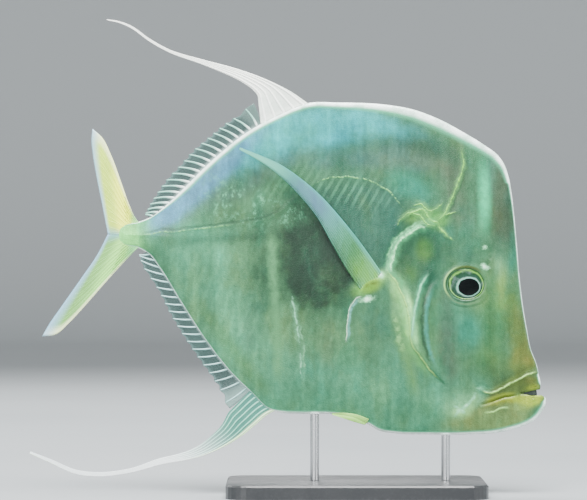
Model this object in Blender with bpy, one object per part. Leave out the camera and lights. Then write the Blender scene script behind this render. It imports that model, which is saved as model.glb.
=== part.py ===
"""A lookdown fish as a still, life-size museum model on a plain display stand.

The fish swims in profile: its head is to +X, its back to +Z, and its right flank faces -Y. The body is
one flat, deep shape that is parted by thin seams, as a jigsaw is: the outline and the seams are curves
in the XZ plane, and one function gives half the body's width at each point of that plane. Fins are
sheets between four curves, with their rays raised in the sheet's own surface.

Sizes are in millimetres and become metres when a mesh is made. The origin is on the floor, under the
middle of the whole model.
"""

import math

import bmesh
import bpy
import numpy as np
from mathutils.geometry import delaunay_2d_cdt

MM = 0.001
GAP = 0.3  # clear space between two pieces that touch
SURE = 1e-4  # tolerance when a distance is compared with a named one

# The body's outline in profile, in three stretches that follow on from each other.
BELLY_LINE = [
    (147.5, 57.6), (149.8, 56.2), (150.4, 53.0), (148.3, 48.6), (144.8, 44.2), (138.0, 40.0),
    (129.5, 37.4), (120.5, 35.6), (106.0, 34.8), (83.0, 34.8), (62.5, 35.4), (54.0, 36.8),
    (46.0, 41.2), (39.5, 44.4), (30.5, 46.2), (22.0, 46.8), (7.5, 46.8), (-4.0, 47.5),
]
TAIL_STEM_LINE = [
    (-9.5, 49.0), (-21.5, 59.6), (-33.0, 71.0), (-47.5, 89.6), (-62.0, 112.0), (-73.5, 130.6),
    (-80.0, 139.2), (-86.5, 143.0), (-94.5, 144.6), (-98.0, 147.0), (-99.0, 150.5), (-98.0, 154.0),
    (-94.5, 156.4), (-85.5, 158.2), (-79.5, 160.6), (-71.0, 167.0), (-59.0, 178.6), (-47.5, 190.2),
    (-36.0, 200.4), (-24.5, 209.4),
]
BACK_LINE = [
    (-7.0, 219.2), (13.0, 227.0), (30.5, 227.2), (57.0, 226.0), (71.5, 223.6), (88.5, 217.4),
    (103.0, 209.6), (115.0, 202.2), (122.0, 197.0), (126.0, 191.4), (128.6, 184.0), (130.4, 174.0),
    (131.8, 162.0), (133.4, 144.5), (134.8, 127.0), (136.8, 110.0), (139.2, 95.5), (141.6, 83.6),
    (144.6, 76.0), (146.2, 69.0), (147.2, 63.6), (146.8, 60.8),
]
MOUTH_GAPE = [(141.5, 60.0), (135.8, 58.5), (142.0, 57.1)]  # the open mouth, cut into the outline

# Seams that part the body. Each runs past the outline, or ends on another seam.
HEAD_SEAM = [
    (102.0, 224.0), (102.6, 204.0), (102.8, 188.0), (97.5, 173.5), (88.5, 161.0), (76.0, 156.6),
    (65.5, 151.0), (59.6, 141.5), (57.4, 131.0), (60.4, 120.5), (65.6, 109.0), (68.6, 95.5),
    (71.4, 85.0), (76.6, 77.2), (82.5, 69.0), (88.2, 60.0), (94.0, 52.0), (98.6, 43.0), (100.6, 28.0),
]
JAW_SEAM = [
    (152.0, 71.6), (145.5, 70.6), (140.0, 69.0), (132.0, 65.0), (123.5, 61.5), (116.5, 59.4),
    (111.4, 56.4), (108.8, 49.0), (107.6, 40.0), (107.0, 28.0),
]
MOUTH_LINE = [(137.0, 58.5), (132.0, 58.2), (123.5, 57.0), (116.5, 54.8), (110.6, 52.4)]
TAIL_SEAM = [(-79.5, 128.0), (-80.5, 150.0), (-79.5, 172.0)]
GILL_FRONT = [
    (84.0, 166.0), (86.4, 157.0), (88.6, 141.5), (87.6, 124.5), (85.6, 107.0), (86.6, 89.5),
    (91.0, 72.0), (95.6, 59.0), (96.0, 48.0), (93.0, 38.0),
]

# Half the body's width: a blade at the forehead and back, and widest behind the gill covers.
EDGE_HALF = 1.1
BLADE_HALF = 2.7
SHOULDER = {"centre": (66.0, 108.0), "reach": (44.0, 40.0), "swell": 6.2}
CHEEK = {"centre": (112.0, 88.0), "reach": (16.0, 30.0), "swell": 1.5}
CORE_LINE = [(-92.0, 150.5), (-40.0, 138.0), (20.0, 124.0)]  # the thick muscle along the backbone
CORE_REACH = 22.0
CORE_SWELL = 1.9
ROUNDING = 21.0  # how far from the outline the body reaches its full width
ROUNDING_POWER = 0.85

# Gill covers, eyes, nostrils and lips
COVER_DEPTH = 2.2
COVER_PROUD = 0.4
EYE_CENTRE = (104.5, 120.6)
EYE_RADIUS = 8.3
EYE_DEPTH = 3.6
EYE_DOME = 1.1
ORBIT_SWELL = 0.55
ORBIT_RADII = (10.3, 12.6)
NOSTRILS = [(116.2, 133.6), (117.8, 137.2)]
NOSTRIL_RADIUS = 0.95
NOSTRIL_DEPTH = 0.9
LIP_SWELL = 0.7
LIP_REACH = 1.9

# Mesh spacings
OUTLINE_STEP = 3.2
SEAM_STEP = 3.0
FIELD_STEP = 7.5
FACE_STEP = 4.8
FACE_BOX = ((97.0, 38.0), (148.0, 150.0))
EDGE_ROWS = (1.5, 4.4)

# Fins: half their thickness at the root, in the membrane and on a ray, and how far rays stand past it
ROOT_HALF = 1.0
MEMBRANE_HALF = 0.28
RAY_HALF = 0.58
ROOT_FLARE = 2.2
RAY_TIP = 0.9
RAY_WIDTH = 0.22  # half a ray's width as a share of the space between two rays

SIDE_TRIM = 0.22  # taken off each end of a fin's root, so that fins side by side keep a gap
FIN_STEP = 1.5

DORSAL_START = (13.0, 227.0)
DORSAL_LEAD = [
    (1.5, 234.0), (-10.0, 239.6), (-27.5, 246.0), (-50.5, 252.2), (-68.0, 257.6), (-79.5, 264.0),
    (-91.0, 272.0), (-97.5, 274.4), (-104.6, 275.9),
]
DORSAL_TRAIL = [
    (-18.4, 229.8), (-25.5, 238.4), (-36.0, 243.8), (-50.5, 249.4), (-68.0, 255.6), (-79.5, 261.6),
    (-91.0, 269.8), (-97.5, 272.6), (-104.6, 274.4),
]
DORSAL_NOTCH_ROOT = (-15.6, 214.6)
DORSAL_SPLIT = (-50.5, 249.4)
DORSAL_REAR_EDGE = [
    (-19.8, 228.0), (-27.0, 221.0), (-36.5, 214.6), (-45.0, 207.6), (-55.0, 199.0), (-62.0, 191.0),
    (-70.5, 181.8), (-76.5, 173.0), (-81.0, 165.4), (-82.2, 162.4),
]
DORSAL_END = (-79.5, 160.6)

ANAL_START = (-6.6, 48.0)
ANAL_LEAD = [
    (-11.0, 42.0), (-18.5, 37.4), (-30.0, 31.0), (-42.0, 24.4), (-53.5, 21.2), (-71.0, 18.4),
    (-91.0, 12.6), (-108.5, 10.2), (-122.0, 11.4), (-137.5, 18.2), (-149.6, 23.6),
]
ANAL_TRAIL = [
    (-33.4, 46.8), (-37.8, 37.4), (-51.0, 27.4), (-60.8, 23.8), (-73.5, 21.0), (-91.0, 15.0),
    (-108.5, 13.0), (-121.6, 14.4), (-136.8, 20.6), (-148.8, 25.4),
]
ANAL_NOTCH_ROOT = (-21.5, 59.6)
ANAL_SPLIT = (-73.5, 21.0)
ANAL_REAR_EDGE = [
    (-34.6, 48.8), (-37.4, 57.4), (-43.0, 67.0), (-50.6, 77.6), (-59.4, 90.6), (-68.0, 104.8),
    (-75.0, 118.8), (-80.6, 127.4), (-84.6, 134.0), (-85.8, 138.8),
]
ANAL_END = (-81.4, 140.2)

TAIL_UPPER_START = (-85.5, 158.2)
TAIL_UPPER_LEAD = [(-90.5, 167.2), (-96.2, 182.5), (-102.0, 197.6), (-107.5, 207.2)]
TAIL_UPPER_EDGE = [
    (-112.8, 212.0), (-113.4, 206.0), (-112.6, 197.0), (-110.6, 185.0), (-107.2, 168.0),
    (-103.8, 153.4),
]
TAIL_LOWER_START = (-86.5, 143.0)
TAIL_LOWER_LEAD = [
    (-91.0, 136.2), (-99.8, 126.4), (-109.4, 116.2), (-119.1, 106.4), (-127.0, 98.4), (-134.4, 92.6),
]
TAIL_LOWER_EDGE = [
    (-142.2, 91.4), (-138.0, 98.6), (-131.5, 108.0), (-120.0, 125.6), (-111.5, 139.0),
    (-104.4, 149.6),
]
TAIL_FORK_ROOT = (-98.8, 151.2)

PECTORAL_UPPER = [(54.5, 129.0), (42.5, 146.0), (30.5, 161.0), (19.0, 173.6), (7.5, 183.4),
                  (-4.0, 191.2), (-15.5, 196.4), (-27.2, 201.0)]
PECTORAL_LOWER = [(42.0, 119.0), (33.5, 132.0), (25.0, 147.0), (18.0, 159.6), (9.5, 170.6),
                  (0.5, 180.0), (-10.0, 189.0), (-19.0, 194.8), (-27.6, 199.6)]
PECTORAL_LIFT = 7.0  # how far the fin's tip stands off the flank
PELVIC_UPPER = [(47.4, 43.8), (40.4, 46.4), (33.0, 47.4), (26.4, 47.2)]
PELVIC_LOWER = [(45.0, 40.4), (38.0, 42.4), (31.5, 44.6), (26.0, 46.3)]
PELVIC_LIFT = 0.7

# The stand: a flat base and two rods up to the belly's edge
BASE_SIZE = (150.0, 96.0, 8.0)
BASE_CENTRE_X = 40.0
BASE_CORNER = 12.0
BASE_CHAMFER = 1.0
ROD_RADIUS = 2.6
ROD_PLACES = {"stand_rod_rear": 16.0, "stand_rod_front": 92.0}

# Base colour (linear), roughness and metallic value of each node's material
SKIN = (0.28, 0.40, 0.33, 1.0)
SILVER = (0.42, 0.52, 0.46, 1.0)
JAW_SKIN = (0.36, 0.30, 0.18, 1.0)
FIN_PALE = (0.62, 0.64, 0.55, 1.0)
FIN_YELLOW = (0.52, 0.48, 0.24, 1.0)
IRIS = (0.05, 0.06, 0.05, 1.0)
STAND_BLACK = (0.02, 0.02, 0.02, 1.0)
ROD_STEEL = (0.55, 0.56, 0.57, 1.0)


def resampled(line, step):
    """The same line with points of equal spacing, as near to the step as fits."""
    along_line = arc_lengths(line)
    count = max(2, round(along_line[-1] / step) + 1)
    return at_fractions(line, np.linspace(0.0, 1.0, count))


def arc_lengths(line):
    """The distance from the line's start to each of its points."""
    return np.concatenate([[0.0], np.cumsum(np.linalg.norm(np.diff(line, axis=0), axis=1))])


def at_fractions(line, fractions):
    """Points at these fractions of the line's length."""
    along_line = arc_lengths(line)
    where = np.asarray(fractions) * along_line[-1]
    return np.stack([np.interp(where, along_line, line[:, axis]) for axis in (0, 1)], axis=-1)


def curve(points, step):
    """A smooth curve through the points: cubic pieces whose slopes come from each point's neighbours."""
    knots = np.array(points, dtype=float)
    at_knot = arc_lengths(knots)
    slopes = np.gradient(knots, at_knot, axis=0)
    at = np.linspace(0.0, at_knot[-1], int(at_knot[-1] * 4) + 2)
    piece = np.clip(np.searchsorted(at_knot, at, side="right") - 1, 0, len(knots) - 2)
    width = (at_knot[piece + 1] - at_knot[piece])[:, None]
    share = (at - at_knot[piece])[:, None] / width
    start_weight = (1 + 2 * share) * (1 - share) ** 2
    end_weight = share**2 * (3 - 2 * share)
    start_slope = share * (1 - share) ** 2
    end_slope = share**2 * (share - 1)
    fine = (
        start_weight * knots[piece]
        + end_weight * knots[piece + 1]
        + width * (start_slope * slopes[piece] + end_slope * slopes[piece + 1])
    )
    return resampled(fine, step)


def shifted(line, distance):
    """The line moved to its own left by the distance."""
    direction = np.gradient(line, axis=0)
    direction /= np.linalg.norm(direction, axis=1)[:, None]
    return line + distance * np.stack([-direction[:, 1], direction[:, 0]], axis=1)


def distance_to(points, line):
    """Each point's distance to the nearest place on a line of straight pieces."""
    starts, pieces = line[:-1], np.diff(line, axis=0)
    nearest = np.full(len(points), np.inf)
    for start, piece in zip(starts, pieces):
        share = np.clip((points - start) @ piece / (piece @ piece), 0.0, 1.0)
        nearest = np.minimum(nearest, np.linalg.norm(points - start - share[:, None] * piece, axis=1))
    return nearest


def inside(points, loop):
    """Whether each point lies inside the closed loop: a ray to +X crosses it an odd number of times."""
    crossings = np.zeros(len(points), dtype=int)
    for start, end in zip(loop, np.roll(loop, -1, axis=0)):
        spans = (start[1] > points[:, 1]) != (end[1] > points[:, 1])
        rise = end[1] - start[1] if end[1] != start[1] else 1.0
        reach = start[0] + (points[:, 1] - start[1]) * (end[0] - start[0]) / rise
        crossings += spans & (points[:, 0] < reach)
    return crossings % 2 == 1


def nearest_index(line, point):
    """The index of the line's point that is nearest to this one."""
    return int(np.argmin(np.linalg.norm(line - np.array(point), axis=1)))


def ring(centre, radius, count):
    """Points evenly round a circle."""
    angles = np.arange(count) * math.tau / count
    return np.array(centre) + radius * np.stack([np.cos(angles), np.sin(angles)], axis=1)


OUTLINE_CURVE = curve(BELLY_LINE + TAIL_STEM_LINE + BACK_LINE, OUTLINE_STEP)
OUTLINE = np.concatenate([OUTLINE_CURVE, np.array(MOUTH_GAPE)])
OUTLINE_LOOP = np.concatenate([OUTLINE, OUTLINE[:1]])
JAW_CURVE = curve(JAW_SEAM, SEAM_STEP)
MOUTH_END = JAW_CURVE[nearest_index(JAW_CURVE, MOUTH_LINE[-1])]
MOUTH_CURVE = curve(MOUTH_LINE[:-1] + [tuple(MOUTH_END)], SEAM_STEP)
GILL_CURVE = curve(GILL_FRONT, SEAM_STEP)
SEAMS = [curve(HEAD_SEAM, SEAM_STEP), JAW_CURVE, MOUTH_CURVE, curve(TAIL_SEAM, SEAM_STEP)]
NODE_SEEDS = {
    "head": (110.0, 160.0),
    "upper_jaw": (130.0, 61.0),
    "lower_jaw": (125.0, 46.0),
    "trunk": (0.0, 120.0),
    "tail_stem": (-88.0, 150.0),
}


def half_width(points):
    """Half the body's width at points of the XZ plane.

    The full half width is a blade's plus rounded swells at the shoulder, the cheek and along the
    backbone. It grows from the outline's edge inwards as the sine of the distance over ROUNDING.
    """
    points = np.asarray(points, dtype=float)
    full = np.full(len(points), BLADE_HALF)
    for part in (SHOULDER, CHEEK):
        offset = (points - np.array(part["centre"])) / np.array(part["reach"])
        full += part["swell"] * np.exp(-0.5 * (offset**2).sum(axis=1))
    core = distance_to(points, np.array(CORE_LINE)) / CORE_REACH
    full += CORE_SWELL * np.exp(-0.5 * core**2)
    depth = np.clip(distance_to(points, OUTLINE_LOOP) / ROUNDING, 0.0, 1.0)
    depth[~inside(points, OUTLINE)] = 0.0
    return EDGE_HALF + (full - EDGE_HALF) * np.sin(depth * math.pi / 2) ** ROUNDING_POWER


def lips_and_orbit(points):
    """What the lips and the rims of the eye sockets add to the half width."""
    lips = LIP_SWELL * np.exp(-((distance_to(points, MOUTH_CURVE) / LIP_REACH) ** 2))
    from_eye = np.linalg.norm(points - np.array(EYE_CENTRE), axis=1)
    middle = sum(ORBIT_RADII) / 2
    reach = (ORBIT_RADII[1] - ORBIT_RADII[0]) / 2
    return lips + ORBIT_SWELL * np.exp(-(((from_eye - middle) / reach) ** 2))


def behind(line, corner_x=20.0):
    """A closed loop round all that lies on the tail's side of a line across the head."""
    corners = [(corner_x, line[-1][1]), (corner_x, line[0][1])]
    return np.concatenate([line, np.array(corners)])


def surface_layout():
    """The triangles of the whole body in the XZ plane, cut along the outline, seams and margins."""
    lines = [OUTLINE_LOOP]
    for seam in SEAMS:
        lines += [shifted(seam, GAP / 2), shifted(seam, -GAP / 2)]
    lines += [shifted(GILL_CURVE, -GAP * step) for step in (0, 1, 2)]
    for step in (0, 1, 2):
        circle = ring(EYE_CENTRE, EYE_RADIUS + GAP * step, 24)
        lines.append(np.concatenate([circle, circle[:1]]))
    rings = [ring(EYE_CENTRE, radius, 20) for radius in ORBIT_RADII]
    rings += [ring(EYE_CENTRE, EYE_RADIUS * share, 12) for share in (0.36, 0.7)]
    rings += [ring(EYE_CENTRE, 0.0, 1)]
    for centre in NOSTRILS:
        rings += [ring(centre, NOSTRIL_RADIUS, 6), ring(centre, NOSTRIL_RADIUS / 2, 6)]
    loose = []
    for distance in EDGE_ROWS:
        loose.append(resampled(shifted(OUTLINE_CURVE, -distance), OUTLINE_STEP * 1.25))
    for side in (-1, 1):
        loose.append(resampled(shifted(MOUTH_CURVE, side * LIP_REACH * 0.75), SEAM_STEP))
    low, high = OUTLINE.min(axis=0), OUTLINE.max(axis=0)
    fields = [hex_field(low, high, FIELD_STEP), hex_field(*FACE_BOX, FACE_STEP)]
    kept = np.concatenate(rings)
    for group, clear in [(row, 1.0) for row in loose] + [(fields[1], 2.0), (fields[0], 2.9)]:
        far = inside(group, OUTLINE)
        for line in lines:
            far &= distance_to(group, line) > clear
        far &= np.linalg.norm(group[:, None] - kept[None], axis=2).min(axis=1) > clear
        kept = np.concatenate([kept, group[far]])
    coords, edges = [], []
    for line in lines:
        start = len(coords)
        coords += [tuple(point) for point in line]
        edges += [(start + index, start + index + 1) for index in range(len(line) - 1)]
    coords += [tuple(point) for point in kept]
    points, _, triangles, *_ = delaunay_2d_cdt(coords, edges, [], 0, 1e-5)
    points = np.array([tuple(point) for point in points])
    triangles = np.array([tuple(triangle) for triangle in triangles])
    corner = points[triangles]
    turn = np.cross(corner[:, 1] - corner[:, 0], corner[:, 2] - corner[:, 0])
    triangles[turn < 0] = triangles[turn < 0][:, ::-1]
    middles = points[triangles].mean(axis=1)
    inner = inside(middles, OUTLINE) & (np.abs(turn) > 1e-7)
    for seam in SEAMS:
        inner &= distance_to(middles, seam) > GAP / 2 - SURE
    return points, triangles[inner]


def hex_field(low, high, step):
    """Points of a triangular grid that fills a box."""
    rows = np.arange(low[1], high[1], step * math.sqrt(3) / 2)
    points = []
    for index, height in enumerate(rows):
        across = np.arange(low[0] + (index % 2) * step / 2, high[0], step)
        points.append(np.stack([across, np.full(len(across), height)], axis=1))
    return np.concatenate(points)


def joined_groups(triangles):
    """A group number for each triangle, the same for triangles that reach each other over shared sides."""
    owners = {}
    for index, triangle in enumerate(triangles):
        for first, second in zip(triangle, np.roll(triangle, -1)):
            owners.setdefault((min(first, second), max(first, second)), []).append(index)
    neighbours = [[] for _ in triangles]
    for pair in owners.values():
        if len(pair) == 2:
            neighbours[pair[0]].append(pair[1])
            neighbours[pair[1]].append(pair[0])
    group = np.full(len(triangles), -1)
    for seed in range(len(triangles)):
        if group[seed] >= 0:
            continue
        group[seed] = seed
        waiting = [seed]
        while waiting:
            for other in neighbours[waiting.pop()]:
                if group[other] < 0:
                    group[other] = seed
                    waiting.append(other)
    return group


def make_object(name, points, faces, colour, roughness, metallic, smooth_angle=40.0):
    """A named object from points in millimetres, with a material of its own."""
    mesh = bpy.data.meshes.new(name)
    mesh.from_pydata([tuple(point) for point in np.asarray(points) * MM], [], faces)
    mesh.validate()
    mesh.update()
    mesh.shade_smooth()
    mesh.set_sharp_from_angle(angle=math.radians(smooth_angle))
    material = bpy.data.materials.new(name)
    material.use_nodes = True
    shader = material.node_tree.nodes["Principled BSDF"]
    shader.inputs["Base Color"].default_value = colour
    shader.inputs["Roughness"].default_value = roughness
    shader.inputs["Metallic"].default_value = metallic
    mesh.materials.append(material)
    item = bpy.data.objects.new(name, mesh)
    bpy.context.scene.collection.objects.link(item)
    return item


def walled_solid(name, points, triangles, front, back, colour, roughness, metallic):
    """A closed solid over a flat layout: a front sheet, a back sheet and a wall round their border.

    front and back give Y at every point of the layout, front the lower one.
    """
    used, triangles = np.unique(triangles, return_inverse=True)
    triangles = triangles.reshape(-1, 3)
    count = len(used)
    flat = points[used]
    sheets = [np.stack([flat[:, 0], depth[used], flat[:, 1]], axis=1) for depth in (front, back)]
    sides = {(first, second) for a, b, c in triangles for first, second in ((a, b), (b, c), (c, a))}
    faces = [tuple(triangle) for triangle in triangles]
    faces += [tuple(triangle[::-1] + count) for triangle in triangles]
    for first, second in sides:
        if (second, first) not in sides:
            faces.append((second, first, first + count))
            faces.append((second, first + count, second + count))
    make_object(name, np.concatenate(sheets), faces, colour, roughness, metallic)


def make_body():
    """Head, jaws, trunk and tail stem, then the gill covers and eyes that sit in the head's recesses."""
    points, triangles = surface_layout()
    middles = points[triangles].mean(axis=1)
    group = joined_groups(triangles)
    skin = half_width(points) + lips_and_orbit(points)
    for centre in NOSTRILS:
        from_centre = np.linalg.norm(points - np.array(centre), axis=1)
        skin = skin - NOSTRIL_DEPTH * (from_centre < NOSTRIL_RADIUS * 0.6)
    from_eye = np.linalg.norm(points - np.array(EYE_CENTRE), axis=1)
    in_socket = from_eye < EYE_RADIUS + GAP + SURE
    under_cover = inside(points, behind(shifted(GILL_CURVE, -GAP + SURE * 10)))
    head_group = group[np.argmin(np.linalg.norm(middles - np.array(NODE_SEEDS["head"]), axis=1))]
    in_head = np.zeros(len(points), dtype=bool)
    in_head[np.unique(triangles[group == head_group])] = True
    floor = skin - EYE_DEPTH * in_socket - COVER_DEPTH * (under_cover & in_head)
    finish = {"upper_jaw": JAW_SKIN, "lower_jaw": JAW_SKIN, "trunk": SKIN}
    for name, seed in NODE_SEEDS.items():
        own = group == group[np.argmin(np.linalg.norm(middles - np.array(seed), axis=1))]
        depth = floor if name == "head" else skin
        walled_solid(name, points, triangles[own], -depth, depth, finish.get(name, SILVER), 0.32, 0.55)
    cover = (group == head_group) & inside(middles, behind(shifted(GILL_CURVE, -2 * GAP + SURE)))
    cover_in, cover_out = floor + GAP, skin + COVER_PROUD
    eye = (group == head_group) & (np.linalg.norm(middles - np.array(EYE_CENTRE), axis=1) < EYE_RADIUS)
    dome = EYE_DOME * np.sqrt(np.clip(1.0 - (from_eye / EYE_RADIUS) ** 2, 0.0, 1.0))
    rim = half_width(np.array([EYE_CENTRE]))[0] - 0.4
    eye_in, eye_out = floor + GAP, rim + dome
    for side, sign in (("right", -1), ("left", 1)):
        for name, own, inner, outer, look in (
            ("gill_cover_", cover, cover_in, cover_out, (SILVER, 0.25, 0.7)),
            ("eye_", eye, eye_in, eye_out, (IRIS, 0.08, 0.0)),
        ):
            front, back = (-outer, -inner) if sign < 0 else (inner, outer)
            walled_solid(name + side, points, triangles[own], front, back, *look)


def fin_grid(root, outer, lead, trail, rays, rows):
    """Points and half thickness of a fin between four curves, by columns across and rows outwards.

    A point is the blend of the curves to its four sides. Columns lie at each ray and at both its
    feet, and each ray's last point stands a little past the membrane.
    """
    pitch = 1.0 / rays
    crests = (np.arange(rays) + 0.5) * pitch
    feet = RAY_WIDTH * pitch
    columns = np.sort(np.concatenate([[0.0, 1.0], crests, crests - feet, crests + feet]))
    is_ray = np.isclose(columns[:, None], crests[None], atol=1e-9).any(axis=1)
    across, up = columns[:, None, None], np.asarray(rows)[None, :, None]
    root_points, outer_points = (at_fractions(line, columns)[:, None] for line in (root, outer))
    lead_points, trail_points = (at_fractions(line, rows)[None] for line in (lead, trail))
    grid = (
        (1 - across) * lead_points
        + across * trail_points
        + (1 - up) * root_points
        + up * outer_points
        - (1 - across) * (1 - up) * root[0]
        - across * (1 - up) * root[-1]
        - (1 - across) * up * outer[0]
        - across * up * outer[-1]
    )
    outwards = grid[:, -1] - grid[:, -2]
    outwards /= np.linalg.norm(outwards, axis=1)[:, None]
    grid[:, -1] += RAY_TIP * is_ray[:, None] * outwards
    from_root = np.linalg.norm(grid - grid[:, :1], axis=2)
    fade = 1.0 - 0.45 * np.asarray(rows)[None, :]
    half = MEMBRANE_HALF + (RAY_HALF - MEMBRANE_HALF) * is_ray[:, None] * fade
    flare = np.clip(1.0 - from_root / ROOT_FLARE, 0.0, 1.0) ** 2
    half = half + (ROOT_HALF - half) * flare
    return grid, half


def fin_solid(name, grid, half, middle, colour):
    """A closed solid from a fin's grid: both faces carry the same triangles, with a wall round them."""
    columns, rows = grid.shape[:2]
    flat = grid.reshape(-1, 2)
    index = np.arange(columns * rows).reshape(columns, rows)
    corners = (index[:-1, :-1], index[1:, :-1], index[1:, 1:], index[:-1, 1:])
    first, second, third, fourth = (part.ravel() for part in corners)
    triangles = np.concatenate([
        np.stack([first, second, third], axis=1),
        np.stack([first, third, fourth], axis=1),
    ])
    corner = flat[triangles]
    turn = np.cross(corner[:, 1] - corner[:, 0], corner[:, 2] - corner[:, 0])
    if turn.sum() < 0:
        triangles = triangles[:, ::-1]
    thickness = half.ravel()
    middle = middle.ravel()
    walled_solid(name, flat, triangles, middle - thickness, middle + thickness, colour, 0.45, 0.0)


def body_edge(start, end):
    """The outline from near one point to near another, moved out by the gap and trimmed at both ends."""
    line = shifted(OUTLINE_CURVE, GAP)
    first, last = nearest_index(line, start), nearest_index(line, end)
    part = line[first:last + 1] if first < last else line[last:first + 1][::-1]
    trim = SIDE_TRIM / arc_lengths(part)[-1]
    return at_fractions(part, np.linspace(trim, 1 - trim, len(part)))


def straight(start, end):
    """A line of two points."""
    return np.array([start, end], dtype=float)


def middle_fin(name, root, lead, trail, outer, rays, rows, colour):
    """A fin in the middle plane, between its root on the body, two side edges and its outer edge."""
    grid, half = fin_grid(root, outer, lead, trail, rays, rows)
    fin_solid(name, grid, half, np.zeros(grid.shape[:2]), colour)


def make_lobe(name, root, lead_points, trail_points, split_at, rays):
    """The long front rays of a fin, drawn out into a lobe, and past the split into its filament."""
    lead = curve([tuple(root[0])] + lead_points, FIN_STEP)
    trail = np.concatenate([root[-1:], curve(trail_points, FIN_STEP)])
    length = arc_lengths(trail)[-1]
    notch = np.linalg.norm(trail[1] - trail[0]) / length
    split = arc_lengths(trail)[nearest_index(trail, split_at)] / length
    lobe_rows = notch + (split - GAP / 2 / length - notch) * np.linspace(0.0, 1.0, 5)
    filament_rows = split + GAP / 2 / length + (1 - split - GAP / 2 / length) * np.linspace(0.0, 1.0, 6)
    rows = np.concatenate([notch * np.array([0.0, 0.13, 0.45]), lobe_rows, filament_rows])
    grid, half = fin_grid(root, straight(lead[-1], trail[-1]), lead, trail, rays, rows)
    cut = len(rows) - len(filament_rows)
    for part, own in (("_lobe", slice(None, cut)), ("_filament", slice(cut, None))):
        piece = grid[:, own]
        fin_solid(name + part, piece, half[:, own], np.zeros(piece.shape[:2]), FIN_PALE)


def make_rear_part(name, root, edge_points, rays):
    """The low rear part of a fin, whose rays get shorter towards the tail."""
    outer = curve(edge_points, FIN_STEP)
    lead, trail = straight(root[0], outer[0]), straight(root[-1], outer[-1])
    middle_fin(name, root, lead, trail, outer, rays, [0.0, 0.12, 0.4, 0.72, 1.0], FIN_PALE)


def make_tail_lobe(name, root, lead_points, edge_points, rays):
    """One lobe of the forked tail fin, whose rays fan out from the end of the tail stem."""
    outer = curve(edge_points, FIN_STEP)
    lead = curve([tuple(root[0])] + lead_points + [tuple(outer[0])], FIN_STEP)
    trail = straight(root[-1], outer[-1])
    rows = [0.0, 0.06, 0.22, 0.42, 0.62, 0.82, 1.0]
    middle_fin(name, root, lead, trail, outer, rays, rows, FIN_YELLOW)


def make_middle_fins():
    """The dorsal, anal and tail fins, which stand in the middle plane on the body's edge."""
    dorsal_root = body_edge(DORSAL_START, DORSAL_NOTCH_ROOT)
    make_lobe("dorsal_fin", dorsal_root, DORSAL_LEAD, DORSAL_TRAIL, DORSAL_SPLIT, 5)
    make_rear_part("dorsal_fin_rear", body_edge(DORSAL_NOTCH_ROOT, DORSAL_END), DORSAL_REAR_EDGE, 19)
    anal_root = body_edge(ANAL_START, ANAL_NOTCH_ROOT)
    make_lobe("anal_fin", anal_root, ANAL_LEAD, ANAL_TRAIL, ANAL_SPLIT, 4)
    make_rear_part("anal_fin_rear", body_edge(ANAL_NOTCH_ROOT, ANAL_END), ANAL_REAR_EDGE, 17)
    upper_root = body_edge(TAIL_UPPER_START, TAIL_FORK_ROOT)
    make_tail_lobe("tail_fin_upper", upper_root, TAIL_UPPER_LEAD, TAIL_UPPER_EDGE, 8)
    lower_root = body_edge(TAIL_LOWER_START, TAIL_FORK_ROOT)
    make_tail_lobe("tail_fin_lower", lower_root, TAIL_LOWER_LEAD, TAIL_LOWER_EDGE, 8)


def make_paired_fins():
    """The pectoral and pelvic fins, which lie along each flank and lift off it towards their tips."""
    rows = {
        "pectoral_fin_": [0.0, 0.02, 0.08, 0.18, 0.3, 0.44, 0.6, 0.78, 1.0],
        "pelvic_fin_": [0.0, 0.2, 0.5, 1.0],
    }
    shapes = {
        "pectoral_fin_": (PECTORAL_UPPER, PECTORAL_LOWER, 6, PECTORAL_LIFT),
        "pelvic_fin_": (PELVIC_UPPER, PELVIC_LOWER, 2, PELVIC_LIFT),
    }
    for name, (upper, lower, rays, lift) in shapes.items():
        lead, trail = curve(upper, 1.5), curve(lower, 1.5)
        root, outer = straight(lead[0], trail[0]), straight(lead[-1], trail[-1])
        grid, half = fin_grid(root, outer, lead, trail, rays, rows[name])
        flank = half_width(grid.reshape(-1, 2)).reshape(grid.shape[:2])
        rise = lift * np.asarray(rows[name])[None, :] ** 1.2
        middle = flank + GAP + half + rise
        for side, sign in (("right", -1), ("left", 1)):
            fin_solid(name + side, grid, half, sign * middle, FIN_PALE)


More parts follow.
